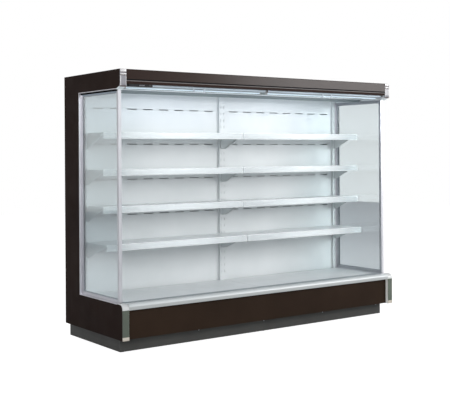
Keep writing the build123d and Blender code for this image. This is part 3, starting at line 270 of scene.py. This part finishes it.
def lacquered_fascia(name, colour, shade, flake_colour):
    """The canopy front: dark metallic lacquer on folded aluminium under a satin clear
    coat, so that it turns from brown to pale grey as it swings towards the light."""
    drift_size, flake_size, sheen_size, peel_size = 0.4, 0.003, 0.2, 0.006
    material, tree, shader, place = start_material(name, 0.5, **{"Specular IOR Level": 0.03})
    shader.inputs["Coat Weight"].default_value = 0.27
    shader.inputs["Coat Roughness"].default_value = 0.24
    flake = vary(tree, place, flake_size, 0.0, 0.2, detail=0.0)
    tone = blend_colours(tree, vary(tree, place, drift_size, 0.0, 1.0), colour, shade)
    tree.links.new(blend_colours(tree, flake, tone, flake_colour), shader.inputs["Base Color"])
    tree.links.new(vary(tree, place, sheen_size, 0.46, 0.54), shader.inputs["Roughness"])
    emboss(tree, shader, vary(tree, place, peel_size, 0.0, 1.0, detail=1.0), 0.03 * MM, 0.2)
    return material


def two_tone_plastic(name, lower, upper, level, roughness=0.5, soft=1 * MM):
    """Two colours, one below a level and another above it. On the discharge rail they are two plastics formed
    as one piece; on the bumper and the end caps the paler colour is a painted highlight.
    """
    material = moulded_plastic(name, lower, lower, roughness)
    tree = material.node_tree
    place = add_node(tree, "ShaderNodeTexCoord").outputs["Object"]
    shader = tree.nodes["Principled BSDF"]
    foot = shader.inputs["Base Color"].links[0].from_socket
    tone = blend_colours(tree, above(tree, place, level, soft), foot, upper)
    tree.links.new(tone, shader.inputs["Base Color"])
    return material


# The lamp bars' box, and the levels where the plastics in two colours change; on the bumper and the end caps
# the paler colour is a painted highlight.
lamp_low, lamp_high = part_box("led_light_bars")
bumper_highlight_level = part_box("bumper_rail")[0].z + 25 * MM
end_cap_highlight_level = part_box("fascia_end_caps")[0].z + 17 * MM
rail_lip_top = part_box("discharge_rail")[0].z + 17 * MM

MATERIALS = {
    "frame_paint": powder_coat("frame_powder_coat", "#4B4B4D", "#404042", 0.5),
    "foot_plastic": moulded_plastic("foot_nylon_moulded", "#161616", "#1E1E1D", 0.55),
    "kick_paint": powder_coat("kick_plate_powder_coat", "#434341", "#3C3C3A", 0.55, gloss=0.15),
    "liner_paint": powder_coat("liner_powder_coat_white", "#D6DADB", "#CDD2D3", 0.38),
    "shelf_paint": powder_coat("shelf_powder_coat_white", "#DCE0E1", "#D3D8D9", 0.34),
    "back_paint": powder_coat("back_prepainted_sheet", "#BEC0C1", "#B9BCBD", 0.45),
    "panel_paint": end_wall_coat("end_wall_powder_coat", "#211713", "#1B120F", "#CBCFD2"),
    "front_paint": powder_coat("front_panel_powder_coat", "#2C2119", "#251B14", 0.55, gloss=0.04),
    "fascia_paint": lacquered_fascia("canopy_lacquer", "#26150E", "#20110B", "#2E2622"),
    "clear_glass": float_glass("window_float_glass", "#ECF0F1"),
    "frame_aluminium": drawn_metal("window_frame_anodised", "#BCBDC1", "#ABACB1", 0.36, along=Z),
    "corner_aluminium": drawn_metal("corner_strip_anodised", "#646B62", "#575D55", 0.42, along=Z),
    # The bumper's paler upper part is a painted highlight, where light falls from above.
    "bumper_plastic": two_tone_plastic("bumper_grey_painted_highlight", "#9CA09F", "#B9BEBE", bumper_highlight_level,
                                       roughness=0.3, soft=4 * MM),
    "cap_plastic": moulded_plastic("corner_cap_moulded", "#BDBFBE", "#B3B5B4", 0.32),
    # The end caps' pale lowest 17 mm is a painted highlight on their downward face.
    "end_cap_plastic": two_tone_plastic("canopy_end_cap_painted_highlight", "#CDD6D8", "#7C7B80", end_cap_highlight_level,
                                        roughness=0.32),
    "rail_plastic": two_tone_plastic("discharge_rail_coextruded", "#6A7578", "#D9DEE2", rail_lip_top),
    "grille_plastic": moulded_plastic("discharge_honeycomb_holder", "#A3ABAC", "#99A1A2", 0.55, gloss=0.2),
    "grille_paint": powder_coat("return_grille_powder_coat", "#A3ABB0", "#98A0A5", 0.4),
    "lamp_plastic": lit_diffuser("lamp_lens_opal", "#C9DAE4", "#A9B4BA", lamp_low.z, lamp_high.z),
    "drain_plastic": moulded_plastic("drain_upvc_moulded", "#59595B", "#4E4E50", 0.45),
    "fan_plastic": moulded_plastic("fan_housing_nylon", "#1A1A1C", "#232325", 0.5),
    "blade_plastic": moulded_plastic("fan_blade_nylon", "#242426", "#1D1D1F", 0.42),
    "fin_aluminium": bare_metal("coil_fin_aluminium", "#C6C9CC", "#AFB3B7", 0.35),
    "copper": bare_metal("pipe_copper_drawn", "#B87148", "#9A5A38", 0.3),
    "controller_plastic": moulded_plastic("controller_abs_moulded", "#0E0E10", "#131316", 0.5, gloss=0.15),
    "key_plastic": moulded_plastic("controller_key_moulded", "#8C8E91", "#7E8083", 0.4),
    "switch_plastic": moulded_plastic("rocker_switch_moulded", "#121212", "#1B1B1B", 0.35),
    "blind_fabric": woven_screen("blind_woven_polyester", "#B0B2B5", "#95979B"),
    "bar_aluminium": drawn_metal("blind_bar_anodised", "#A3ADB5", "#949EA6", 0.58, along=X),
}

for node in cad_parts.values():
    for held in node.material_slots:
        held.material = MATERIALS[held.material.name.split(".")[0]]

# The screws, the seals, the clear strips and the trims have no CAD node of their own.
zinc = bare_metal("screw_zinc_plated", "#BFC2C6", "#9EA2A7", 0.32)
seal_rubber = moulded_plastic("glazing_seal_silicone_grey", "#989EA5", "#8C9299", 0.6)
# The grey wedge is painted shade over the windows' top rails.
shade_wedge_rubber = moulded_plastic("painted_shade_wedge_silicone_grey", "#7F8A93", "#747F88", 0.6)
# Black rubber put where shade falls: painted shade in the fascia's groove and on the windows' top rails.
shade_black_rubber = moulded_plastic("painted_shade_black_epdm", "#0C0C0D", "#111112", 0.8, gloss=0.05)
pale_trim = moulded_plastic("edge_trim_pale_pvc", "#B3AC9F", "#A8A195", 0.4)
# The white edging is a painted highlight on the lit inner side of the corner strips.
painted_highlight_white = moulded_plastic("strip_edge_painted_highlight", "#F0EFEA", "#E8E7E2", 0.35)
# The grey bead's colour, paler than the fascia, is a painted highlight along its bevel; the blind bars' plugs
# share it.
groove_trim = moulded_plastic("fascia_bead_grey_pvc", "#6B6664", "#605C5B", 0.4)
smoked_lens = moulded_plastic("display_lens_smoked_acrylic", "#08090D", "#0C0D12", 0.3, gloss=0.25)
strip_pvc = clear_strip("ticket_cover_clear_pvc", "#F4FAFB")
lining_aluminium = drawn_metal("window_lining_anodised", "#DCDADF", "#CBCACF", 0.38, along=Y)
bright_moulding = moulded_plastic("end_cap_bar_moulded", "#C9C8C8", "#BDBCBC", 0.26)
rail_lip = moulded_plastic("discharge_lip_soft_pvc", "#6A7578", "#626D70", 0.6)
end_cap_joint = moulded_plastic("end_cap_joint_moulded", "#54443F", "#4B3C38", 0.7, gloss=0.1)


# ---- camera, lamps and floor -----------------------------------------------------------

PHOTO_WIDTH = 450
FOCAL_PIXELS = 904.1
HORIZON_ABOVE_CENTRE = 47.94  # photo pixels
VIEW_TURN = math.radians(35.853)  # to the right of straight at the front
VIEW_ROLL = math.radians(-0.336)
VIEW_POINT = Vector((-4.4275, -5.9564, 1.4026))
SENSOR = 36.0
FLOOR_REACH = 14  # to each side of the middle


def add_camera():
    """The photograph's view: level, turned to the right, its horizon above the centre."""
    lens = bpy.data.cameras.new("photo_camera")
    lens.sensor_width = SENSOR
    lens.lens = FOCAL_PIXELS / PHOTO_WIDTH * SENSOR
    lens.shift_y = -HORIZON_ABOVE_CENTRE / PHOTO_WIDTH
    camera = bpy.data.objects.new("photo_camera", lens)
    bpy.context.scene.collection.objects.link(camera)
    ahead = Vector((math.sin(VIEW_TURN), math.cos(VIEW_TURN), 0))
    level = Vector((math.cos(VIEW_TURN), -math.sin(VIEW_TURN), 0))
    right = math.cos(VIEW_ROLL) * level + math.sin(VIEW_ROLL) * Vector((0, 0, 1))
    turned = Matrix((right, right.cross(ahead), -ahead)).transposed().to_4x4()
    camera.matrix_world = Matrix.Translation(VIEW_POINT) @ turned
    bpy.context.scene.camera = camera


def add_lamp(name, point, target, size, watts, colour="#FFFFFF", mirrored=True):
    """A soft rectangular lamp aimed at a target; one that isn't mirrored shows in no gloss."""
    light = bpy.data.lights.new(name, "AREA")
    light.shape = "RECTANGLE"
    light.size, light.size_y = size
    light.energy = watts
    light.color = linear(colour)[:3]
    lamp = bpy.data.objects.new(name, light)
    bpy.context.scene.collection.objects.link(lamp)
    lamp.visible_camera = False
    lamp.visible_glossy = mirrored
    lamp.visible_transmission = mirrored
    aim = Vector(target) - Vector(point)
    lamp.matrix_world = Matrix.Translation(point) @ aim.to_track_quat("-Z", "Y").to_matrix().to_4x4()


def hang_lamps():
    """Soft studio light from three sides, and the light inside each bay: down from the
    canopy's lamps, and up off the shelves to the ceiling."""
    centre = (0, 0, 1.0)
    bay_middle = 0.64
    add_lamp("key_front_right", (5.2, -5.2, 3.0), centre, (3.2, 2.6), 330)
    add_lamp("fill_front_left", (-4.5, -5.5, 3.4), centre, (4.0, 3.0), 170)
    add_lamp("rear_soft", (-2.5, 6.0, 3.5), centre, (4.0, 3.0), 200, mirrored=False)
    for side, end in zip(SIDES, ENDS):
        middle = end * bay_middle
        add_lamp(f"canopy_lamp_{side}", (middle, lamp_low.y, lamp_low.z - 12 * MM), (middle, 0.3, 1.15),
                 (1.15, 0.05), 1.6, "#F0F6FA")
        add_lamp(f"bounce_{side}", (middle, 0.02, 1.62), (middle, 0.06, 1.9), (1.1, 0.2), 0.6, "#DCEAFF",
                 mirrored=False)


def light_background():
    """A world that is white where it is seen or mirrored, and soft daylight elsewhere."""
    world = bpy.data.worlds.new("studio")
    bpy.context.scene.world = world
    world.use_nodes = True
    tree = world.node_tree
    path = add_node(tree, "ShaderNodeLightPath")
    seen = path.outputs["Is Camera Ray"]
    for way in ("Is Glossy Ray", "Is Transmission Ray"):
        either = add_node(tree, "ShaderNodeMath", {0: seen, 1: path.outputs[way]}, operation="MAXIMUM")
        seen = either.outputs[0]
    ambient = add_node(tree, "ShaderNodeBackground", {"Color": linear("#F6F8FF"), "Strength": 0.52})
    white = add_node(tree, "ShaderNodeBackground", {"Color": linear("#FFFFFF"), "Strength": 1.0})
    mixed = add_node(tree, "ShaderNodeMixShader", {0: seen, 1: ambient.outputs[0], 2: white.outputs[0]})
    tree.links.new(mixed.outputs[0], tree.nodes["World Output"].inputs["Surface"])


def lay_floor():
    """A pale floor that keeps the shadow."""
    bm = bmesh.new()
    bmesh.ops.create_grid(bm, x_segments=1, y_segments=1, size=FLOOR_REACH)
    mesh = bpy.data.meshes.new("studio_floor")
    bm.to_mesh(mesh)
    bm.free()
    floor = bpy.data.objects.new("studio_floor", mesh)
    bpy.context.scene.collection.objects.link(floor)
    mesh.materials.append(studio_floor_paint())


def studio_floor_paint():
    """White painted floor: matt, with a faint roller mottle; what the camera sees is
    lifted to white and still darkens under the fridge."""
    mottle_size, lifted_share = 0.5, 0.55
    material, tree, shader, place = start_material("studio_floor_paint", 0.9)
    tree.links.new(blend_colours(tree, vary(tree, place, mottle_size, 0.0, 1.0), "#F4F4F4", "#F0F0F0"),
                   shader.inputs["Base Color"])
    path = add_node(tree, "ShaderNodeLightPath")
    lift = add_node(tree, "ShaderNodeEmission", {"Color": linear("#FFFFFF"), "Strength": 1.5})
    share = add_node(tree, "ShaderNodeMath", {0: path.outputs["Is Camera Ray"], 1: lifted_share},
                     operation="MULTIPLY")
    lifted = add_node(tree, "ShaderNodeMixShader", {
        0: share.outputs[0], 1: shader.outputs[0], 2: lift.outputs[0]})
    tree.links.new(lifted.outputs[0], tree.nodes["Material Output"].inputs["Surface"])
    return material


# ---- making a piece --------------------------------------------------------------------

def add_block(bm, low, high, edge, segments=2):
    """A block between two corners, with its edges rounded."""
    low, high = Vector(low), Vector(high)
    place = Matrix.Translation((low + high) / 2) @ Matrix.Diagonal((*(high - low), 1))
    made = bmesh.ops.create_cube(bm, size=1, matrix=place)
    edges = {e for v in made["verts"] for e in v.link_edges}
    bmesh.ops.bevel(bm, geom=list(edges), offset=edge, affect="EDGES", segments=segments,
                    profile=0.5, material=-1)


def add_end_block(bm, end, outward, depth, height, edge, segments=2):
    """A block at the left or the right end, between two distances outward from the
    fridge's middle, two depths and two heights."""
    xs = sorted(end * distance for distance in outward)
    add_block(bm, (xs[0], depth[0], height[0]), (xs[1], depth[1], height[1]), edge, segments)


def settle_order(bm):
    """Numbers the points by where they are and the faces by their points. Blender's
    extrusions leave both in an order that changes from run to run."""
    for parts, key in ((bm.verts, lambda point: point.co[:]),
                       (bm.faces, lambda face: sorted(point.index for point in face.verts))):
        parts.index_update()
        keys = [key(part) for part in parts]
        order = sorted(range(len(keys)), key=keys.__getitem__)
        rank = {index: place for place, index in enumerate(order)}
        parts.sort(key=lambda part: rank[part.index])
        parts.index_update()


def put_piece(bm, name, material, body, smooth=False):
    """Makes a finished mesh a piece that rides on a body."""
    settle_order(bm)
    mesh = bpy.data.meshes.new(name)
    bm.to_mesh(mesh)
    bm.free()
    mesh.materials.append(material)
    for face in mesh.polygons:
        face.use_smooth = smooth
    piece = bpy.data.objects.new(name, mesh)
    bpy.context.scene.collection.objects.link(piece)
    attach(piece, body)
    return piece


# ---- the night blinds ------------------------------------------------------------------

BLIND_TRAVEL = 1.49


def hang_blind(side):
    """The stretch of blind between its roller and its pull bar. It lies on the roller's
    tangent and follows the bar down; its map is in metres of the cloth pulled out."""
    node, bar = f"blind_fabric_{side}", f"blind_bar_{side}"
    low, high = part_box(node)
    width, drop = high.x - low.x, high.z - low.z
    bm = bmesh.new()
    middle = Matrix.Translation(((low.x + high.x) / 2, (low.y + high.y) / 2, (low.z + high.z) / 2))
    upright = Matrix.Rotation(math.radians(90), 4, "X")
    bmesh.ops.create_grid(bm, x_segments=48, y_segments=30, size=0.5,
                          matrix=middle @ upright @ Matrix.Diagonal((width, drop, 1, 1)))
    cloth_map = bm.loops.layers.uv.new("cloth")
    for face in bm.faces:
        for corner in face.loops:
            point = corner.vert.co
            share = (high.z - point.z) / drop
            corner[cloth_map].uv = (point.x - low.x, share * (BLIND_TRAVEL + drop))
    mesh = bpy.data.meshes.new(f"blind_{side}")
    bm.to_mesh(mesh)
    bm.free()
    mesh.materials.append(MATERIALS["blind_fabric"])
    for face in mesh.polygons:
        face.use_smooth = True
    blind = bpy.data.objects.new(f"blind_{side}", mesh)
    bpy.context.scene.collection.objects.link(blind)
    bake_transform(blind)
    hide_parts(node)


# ---- the windows -----------------------------------------------------------------------

WINDOW_RAIL = 24 * MM  # the window frames' rails, seen from the side
LINING = 1.5 * MM  # the thickness of the sheet that lines a window's opening


def seal_window(side):
    """The rubber seals round a window's glass, one on each face."""
    glass_low, glass_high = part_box(f"side_glass_{side}")
    frame_low, frame_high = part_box(f"glass_frame_{side}")
    lip, thickness = 5 * MM, 2 * MM
    height = frame_high.z - frame_low.z - 2 * WINDOW_RAIL
    depth = frame_high.y - frame_low.y - 2 * WINDOW_RAIL
    bm = bmesh.new()
    for face_x, outward in ((glass_low.x, -1), (glass_high.x, 1)):
        centre = Vector((face_x, (frame_low.y + frame_high.y) / 2, (frame_low.z + frame_high.z) / 2))
        place = Matrix.Translation(centre) @ Matrix.Rotation(math.radians(90), 4, "Y")
        made = bmesh.ops.create_grid(bm, x_segments=1, y_segments=1, size=0.5,
                                     matrix=place @ Matrix.Diagonal((height, depth, 1, 1)))
        pane = list({f for v in made["verts"] for f in v.link_faces})
        ring = bmesh.ops.inset_region(bm, faces=pane, thickness=lip, use_boundary=True)["faces"]
        bmesh.ops.delete(bm, geom=pane, context="FACES")
        grown = bmesh.ops.extrude_face_region(bm, geom=ring)
        raised = [v for v in grown["geom"] if isinstance(v, bmesh.types.BMVert)]
        bmesh.ops.translate(bm, verts=raised, vec=(outward * thickness, 0, 0))
    bmesh.ops.recalc_face_normals(bm, faces=bm.faces)
    put_piece(bm, f"glazing_seal_{side}", seal_rubber, "cabinet")


def line_window(side, end):
    """The aluminium lining of a window's opening on both faces of the glass, with a
    narrow lip on the end wall's outer face. The post closes the fourth side."""
    wall_low, wall_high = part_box(f"end_panel_{side}")
    low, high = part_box(f"glass_frame_{side}")
    lip, edge = 3 * MM, 0.3 * MM
    inner_face, outer_face = sorted((abs(wall_low.x), abs(wall_high.x)))
    inner_glass, outer_glass = sorted((abs(low.x), abs(high.x)))
    inner_edge, outer_edge = inner_face - 0.6 * MM, outer_face + 0.8 * MM
    bm = bmesh.new()
    for outward in ((inner_edge, inner_glass), (outer_glass, outer_edge)):
        add_end_block(bm, end, outward, (low.y, high.y), (high.z - LINING, high.z), edge)
        add_end_block(bm, end, outward, (high.y - LINING, high.y), (low.z, high.z), edge)
        add_end_block(bm, end, outward, (low.y, high.y), (low.z, low.z + LINING), edge)
    outward = (outer_face, outer_edge)
    add_end_block(bm, end, outward, (low.y, high.y + lip), (high.z - LINING, high.z + lip), edge)
    add_end_block(bm, end, outward, (high.y - LINING, high.y + lip), (low.z, high.z), edge)
    add_end_block(bm, end, outward, (low.y, high.y + lip), (low.z - lip, low.z + LINING), edge)
    put_piece(bm, f"window_lining_{side}", lining_aluminium, "cabinet")


def paint_top_rail_shade(side, end):
    """Painted shade on a window's top rail, which lies in the shade of the end wall's edge: a black strip in
    the corner between the lining and the rail, and a grey wedge over the rest of the rail."""
    low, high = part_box(f"glass_frame_{side}")
    painted_shade, edge = 12 * MM, 0.4 * MM
    glass_face = max(abs(low.x), abs(high.x))
    outward = (glass_face - 0.2 * MM, glass_face + 1.2 * MM)
    # The top 12 mm is a black strip and the rest of the rail a grey wedge, both painted shade.
    painted_shade_foot = high.z - LINING - painted_shade
    bm = bmesh.new()
    add_end_block(bm, end, outward, (low.y + painted_shade, high.y - LINING), (painted_shade_foot, high.z - LINING), edge)
    put_piece(bm, f"window_painted_shade_{side}", shade_black_rubber, "cabinet")
    bm = bmesh.new()
    add_end_block(bm, end, outward, (low.y + WINDOW_RAIL, high.y - WINDOW_RAIL),
                  (high.z - WINDOW_RAIL, painted_shade_foot), edge)
    put_piece(bm, f"window_painted_shade_wedge_{side}", shade_wedge_rubber, "cabinet")


# ---- trims at the corners --------------------------------------------------------------

def cap_corner_strips():
    """The pale moulded foot that closes the lower end of each corner strip."""
    low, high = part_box("corner_strips")
    foot_height, proud = 24 * MM, 0.8 * MM
    bm = bmesh.new()
    for end in ENDS:
        add_end_block(bm, end, (body_end - 0.3 * MM, high.x + proud), (low.y - proud, high.y),
                      (low.z - 1.5 * MM, low.z + foot_height), 2.2 * MM, 3)
    put_piece(bm, "corner_strip_feet", pale_trim, "cabinet", smooth=True)


def finish_corner_strips():
    """The sleeve that laps the strip over the foot of its cap, and a white strip along the strip's inner side
    that paints the highlight where light falls on that side."""
    low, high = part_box("corner_strips")
    panel_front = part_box("front_panel")[0].y
    lap, proud = 13 * MM, 0.6 * MM
    sleeves, highlight_strips = bmesh.new(), bmesh.new()
    for end in ENDS:
        add_end_block(sleeves, end, (body_end - 0.2 * MM, high.x + proud), (low.y - proud, high.y),
                      (high.z - 1 * MM, high.z + lap), 1.2 * MM, 3)
        # A white strip along the inner side: a painted highlight.
        add_end_block(highlight_strips, end, (body_end - 1.2 * MM, body_end + 0.8 * MM),
                      (low.y + 3 * MM, panel_front), (low.z + 2 * MM, high.z + lap), 0.5 * MM)
    put_piece(sleeves, "corner_strip_sleeves", MATERIALS["corner_aluminium"], "cabinet")
    put_piece(highlight_strips, "corner_strip_painted_highlight", painted_highlight_white, "cabinet")


def mould_end_caps():
    """The bars moulded across the front of the canopy's end caps, a deep one at the
    top and a narrow one under it, with a rim down each side, and the dark joints
    between them."""
    low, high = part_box("fascia_end_caps")
    # Each pair is a lower and an upper level, in millimetres from the caps' top.
    bars = ((-21, -1), (-41, -31))
    joints = ((-26, -22), (-46, -41.5), (-125, -119))
    rim = (high.z - 118 * MM, high.z - 47 * MM)
    across = (body_end + 1 * MM, high.x - 1.5 * MM)
    rims_across = ((high.x - 7 * MM, high.x - 0.5 * MM), (body_end + 1 * MM, body_end + 5 * MM))
    root = low.y + 1 * MM
    raised, sunk = bmesh.new(), bmesh.new()
    for end in ENDS:
        for levels in bars:
            add_end_block(raised, end, across, (low.y - 2 * MM, root), [high.z + z * MM for z in levels],
                          0.9 * MM)
        for levels in joints:
            add_end_block(sunk, end, across, (low.y - 0.6 * MM, root), [high.z + z * MM for z in levels],
                          0.2 * MM)
        for outward in rims_across:
            add_end_block(raised, end, outward, (low.y - 1.2 * MM, root), rim, 0.9 * MM)
    put_piece(raised, "canopy_end_cap_bars", bright_moulding, "cabinet", smooth=True)
    put_piece(sunk, "canopy_end_cap_joints", end_cap_joint, "cabinet")


def paint_fascia_groove_shade_and_highlight():
    """A black strip over the groove along the canopy's front that paints the groove's shade, and the round
    grey bead under it, whose paler grey paints the highlight along the bevel."""
    low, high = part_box("canopy_fascia")
    end_gap, strip_height, bead = 1 * MM, 9 * MM, 3.2 * MM
    foot = low.z + 24 * MM
    bm = bmesh.new()
    # The black strip over the groove is painted shade.
    add_block(bm, (low.x + end_gap, low.y - 0.5 * MM, foot),
              (high.x - end_gap, low.y + 2 * MM, foot + strip_height), 0.4 * MM)
    put_piece(bm, "fascia_groove_painted_shade", shade_black_rubber, "cabinet")

    # The bead's grey is paler than the fascia: a painted highlight along the bevel.
    bm = bmesh.new()
    turned = Matrix.Rotation(math.radians(90), 4, "Y")
    place = Matrix.Translation(((low.x + high.x) / 2, low.y + 1.4 * MM, foot - bead))
    bmesh.ops.create_cone(bm, cap_ends=True, segments=12, radius1=bead, radius2=bead,
                          depth=high.x - low.x - 2 * end_gap, matrix=place @ turned)
    put_piece(bm, "fascia_bead", groove_trim, "cabinet")


# ---- shelves' ticket covers ------------------------------------------------------------

def cover_tickets(level, side):
    """The clear strip that snaps over a shelf's price rail, bowed a little outwards."""
    low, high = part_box(f"shelf_{level}_{side}")
    margin, bow, thickness = 3 * MM, 1.6 * MM, 0.6 * MM
    front = low.y - 0.4 * MM
    bm = bmesh.new()
    middle = Vector(((low.x + high.x) / 2, front, (low.z + high.z) / 2))
    upright = Matrix.Rotation(math.radians(90), 4, "X")
    size = Matrix.Diagonal((high.x - low.x - 2 * margin, high.z - low.z - 2 * margin, 1, 1))
    bmesh.ops.create_grid(bm, x_segments=1, y_segments=8, size=0.5,
                          matrix=Matrix.Translation(middle) @ upright @ size)
    half = (high.z - low.z) / 2 - margin
    for vert in bm.verts:
        rise = (vert.co.z - middle.z) / half
        vert.co.y -= bow * (1 - rise * rise)
    bmesh.ops.solidify(bm, geom=bm.faces[:], thickness=thickness)
    put_piece(bm, f"ticket_cover_{level}_{side}", strip_pvc, f"shelf_{level}_{side}", smooth=True)


# ---- screws ----------------------------------------------------------------------------

def add_screw(bm, point, outward, radius):
    """A pan head with a round recess, seated on a surface at point."""
    sides = 12
    height, crown, rim, recess = 0.45 * radius, 0.72 * radius, 0.3 * radius, 0.25 * radius
    turn = Vector((0, 0, 1)).rotation_difference(Vector(outward)).to_matrix().to_4x4()
    place = Matrix.Translation(Vector(point)) @ turn @ Matrix.Translation((0, 0, height / 2))
    made = bmesh.ops.create_cone(bm, cap_ends=True, segments=sides, radius1=radius, radius2=crown,
                                 depth=height, matrix=place)
    faces = {f for v in made["verts"] for f in v.link_faces}
    top = [f for f in faces if len(f.verts) == sides and f.normal.dot(Vector(outward)) > 0.9]
    bmesh.ops.inset_region(bm, faces=top, thickness=rim)
    bmesh.ops.translate(bm, verts=list({v for f in top for v in f.verts}), vec=Vector(outward) * -recess)


def screw_kick_plate():
    """Five screws along the front kick plate."""
    low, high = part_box("kick_plate_front")
    height = (low.z + high.z) / 2 + 30 * MM
    bm = bmesh.new()
    for share in (-0.96, -0.48, 0.0, 0.48, 0.96):
        add_screw(bm, (share * high.x, low.y, height), (0, -1, 0), 4 * MM)
    put_piece(bm, "kick_plate_screws", zinc, "cabinet")


def screw_back():
    """Screws down the ribs between the rear wall's fields, and in rows across the roof."""
    wall_low, wall_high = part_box("rear_wall")
    roof_low, roof_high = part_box("top_panel")
    ribs, rows, margin, head = 5, 6, 60 * MM, 5 * MM
    roof_rows = (roof_low.y + 100 * MM, (roof_low.y + roof_high.y) / 2, roof_high.y - 40 * MM)
    bm = bmesh.new()
    for rib in range(ribs):
        x = (2 * rib / (ribs - 1) - 1) * (wall_high.x - 14 * MM)
        for row in range(rows):
            height = wall_low.z + margin + row * (wall_high.z - wall_low.z - 2 * margin) / (rows - 1)
            add_screw(bm, (x, wall_high.y, height), (0, 1, 0), head)
        for y in roof_rows:
            add_screw(bm, (x, y, roof_high.z), (0, 0, 1), head)
    put_piece(bm, "back_and_roof_screws", zinc, "cabinet")


# ---- lamp bars, pull bars and the controller -------------------------------------------

def close_lamp_ends():
    """The moulded caps on the ends of the two lamp bars."""
    low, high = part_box("led_light_bars")
    inner_end, half_thickness, proud = 36 * MM, 2.5 * MM, 0.8 * MM
    bm = bmesh.new()
    for end in ENDS:
        for place in (inner_end, high.x):
            add_end_block(bm, end, (place - half_thickness, place + half_thickness),
                          (low.y - proud, high.y + proud), (low.z - proud, high.z - 0.2 * MM), 1.2 * MM)
    put_piece(bm, "lamp_bar_end_caps", bright_moulding, "cabinet", smooth=True)


def plug_blind_bar(side):
    """The moulded plugs in the two ends of a blind's pull bar."""
    low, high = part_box(f"blind_bar_{side}")
    bar_height, proud = 24 * MM, 0.5 * MM
    bm = bmesh.new()
    for bar_end, out in ((low.x, -1), (high.x, 1)):
        xs = sorted((bar_end - out * 6 * MM, bar_end + out * 1.5 * MM))
        add_block(bm, (xs[0], low.y - proud, high.z - bar_height - proud),
                  (xs[1], high.y + proud, high.z + 0.3 * MM), 1.4 * MM)
    put_piece(bm, f"blind_bar_plugs_{side}", groove_trim, f"blind_bar_{side}", smooth=True)


def glaze_display():
    """The smoked lens pressed into the controller's face. It is dark, with nothing on it."""
    low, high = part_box("controller_housing")
    centre = low.x + 44 * MM
    middle = (low.z + high.z) / 2
    half_width, half_height = 31.5 * MM, 5 * MM
    bm = bmesh.new()
    add_block(bm, (centre - half_width, low.y + 0.2 * MM, middle - half_height),
              (centre + half_width, low.y + 1.8 * MM, middle + half_height), 0.4 * MM)
    put_piece(bm, "controller_display_lens", smoked_lens, "cabinet")


# ---- the air discharge and the coil ----------------------------------------------------

def fill_discharge():
    """The honeycomb that straightens the air, laid on top of the discharge grille: six
    sided tubes 20 mm across, whose walls, 0.1 mm thick, are drawn at 0.4 mm."""
    low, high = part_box("air_discharge_grille")
    across, gap, wall_thickness, tube_height = 20 * MM, 0.1 * MM, 0.4 * MM, 12 * MM
    radius = across / math.sqrt(3)  # of the circle through a tube's corners, with its share of the gap
    front, rear = low.y + 44 * MM, high.y - 12 * MM
    end_margin, seat = 12 * MM, high.z + 0.3 * MM
    columns = int((high.x - low.x - 2 * end_margin) // across) - 1
    rows = int((rear - front - radius) // (1.5 * radius))
    bm = bmesh.new()
    for row in range(rows):
        for column in range(columns):
            x = (column - (columns - 1) / 2 + 0.25 - 0.5 * (row % 2)) * across
            place = Matrix.Translation((x, front + radius + row * 1.5 * radius, seat))
            bmesh.ops.create_circle(bm, cap_ends=False, segments=6, radius=(across - gap) / math.sqrt(3),
                                    matrix=place)
    grown = bmesh.ops.extrude_edge_only(bm, edges=bm.edges[:])
    raised = [v for v in grown["geom"] if isinstance(v, bmesh.types.BMVert)]
    bmesh.ops.translate(bm, verts=raised, vec=(0, 0, tube_height))
    bmesh.ops.recalc_face_normals(bm, faces=bm.faces)
    piece = put_piece(bm, "discharge_honeycomb", MATERIALS["grille_plastic"], "cabinet")
    wall = piece.modifiers.new("wall", "SOLIDIFY")
    wall.thickness = wall_thickness
    wall.offset = -1.0  # all of it inward


def hang_rail_lip():
    """The soft dark lip that hangs from the discharge rail and turns the air down."""
    low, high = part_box("discharge_rail")
    end_gap, drop = 1 * MM, 9 * MM
    bm = bmesh.new()
    add_block(bm, (low.x + end_gap, low.y + 2 * MM, low.z - drop),
              (high.x - end_gap, low.y + 6 * MM, low.z + 1 * MM), 0.8 * MM)
    put_piece(bm, "discharge_rail_lip", rail_lip, "cabinet")


def fin_coil():
    """The thin aluminium fins between the coil's carriers, 8 mm apart where the real
    ones are 6."""
    low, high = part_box("evaporator_coil")
    reach, pitch, thickness = 1120 * MM, 8 * MM, 0.3 * MM
    count = int(2 * reach / pitch) + 1
    size = Matrix.Diagonal((thickness, high.y - low.y - 12 * MM, high.z - low.z - 2 * MM, 1))
    bm = bmesh.new()
    for fin in range(count):
        middle = (-reach + fin * pitch, (low.y + high.y) / 2, (low.z + high.z) / 2)
        bmesh.ops.create_cube(bm, size=1, matrix=Matrix.Translation(middle) @ size)
    put_piece(bm, "coil_fins", MATERIALS["fin_aluminium"], "cabinet")


# ---- the whole finish ------------------------------------------------------------------

def build():
    """Everything that the CAD frame leaves to the finish."""
    for side, end in zip(SIDES, ENDS):
        hang_blind(side)
        seal_window(side)
        line_window(side, end)
        paint_top_rail_shade(side, end)
        for level in LEVELS:
            cover_tickets(level, side)
    cap_corner_strips()
    mould_end_caps()
    paint_fascia_groove_shade_and_highlight()
    finish_corner_strips()
    close_lamp_ends()
    for side in SIDES:
        plug_blind_bar(side)
    glaze_display()
    fill_discharge()
    hang_rail_lip()
    fin_coil()
    screw_kick_plate()
    screw_back()


bpy.context.scene.view_settings.view_transform = "Standard"
add_camera()
hang_lamps()
light_background()
lay_floor()
build()
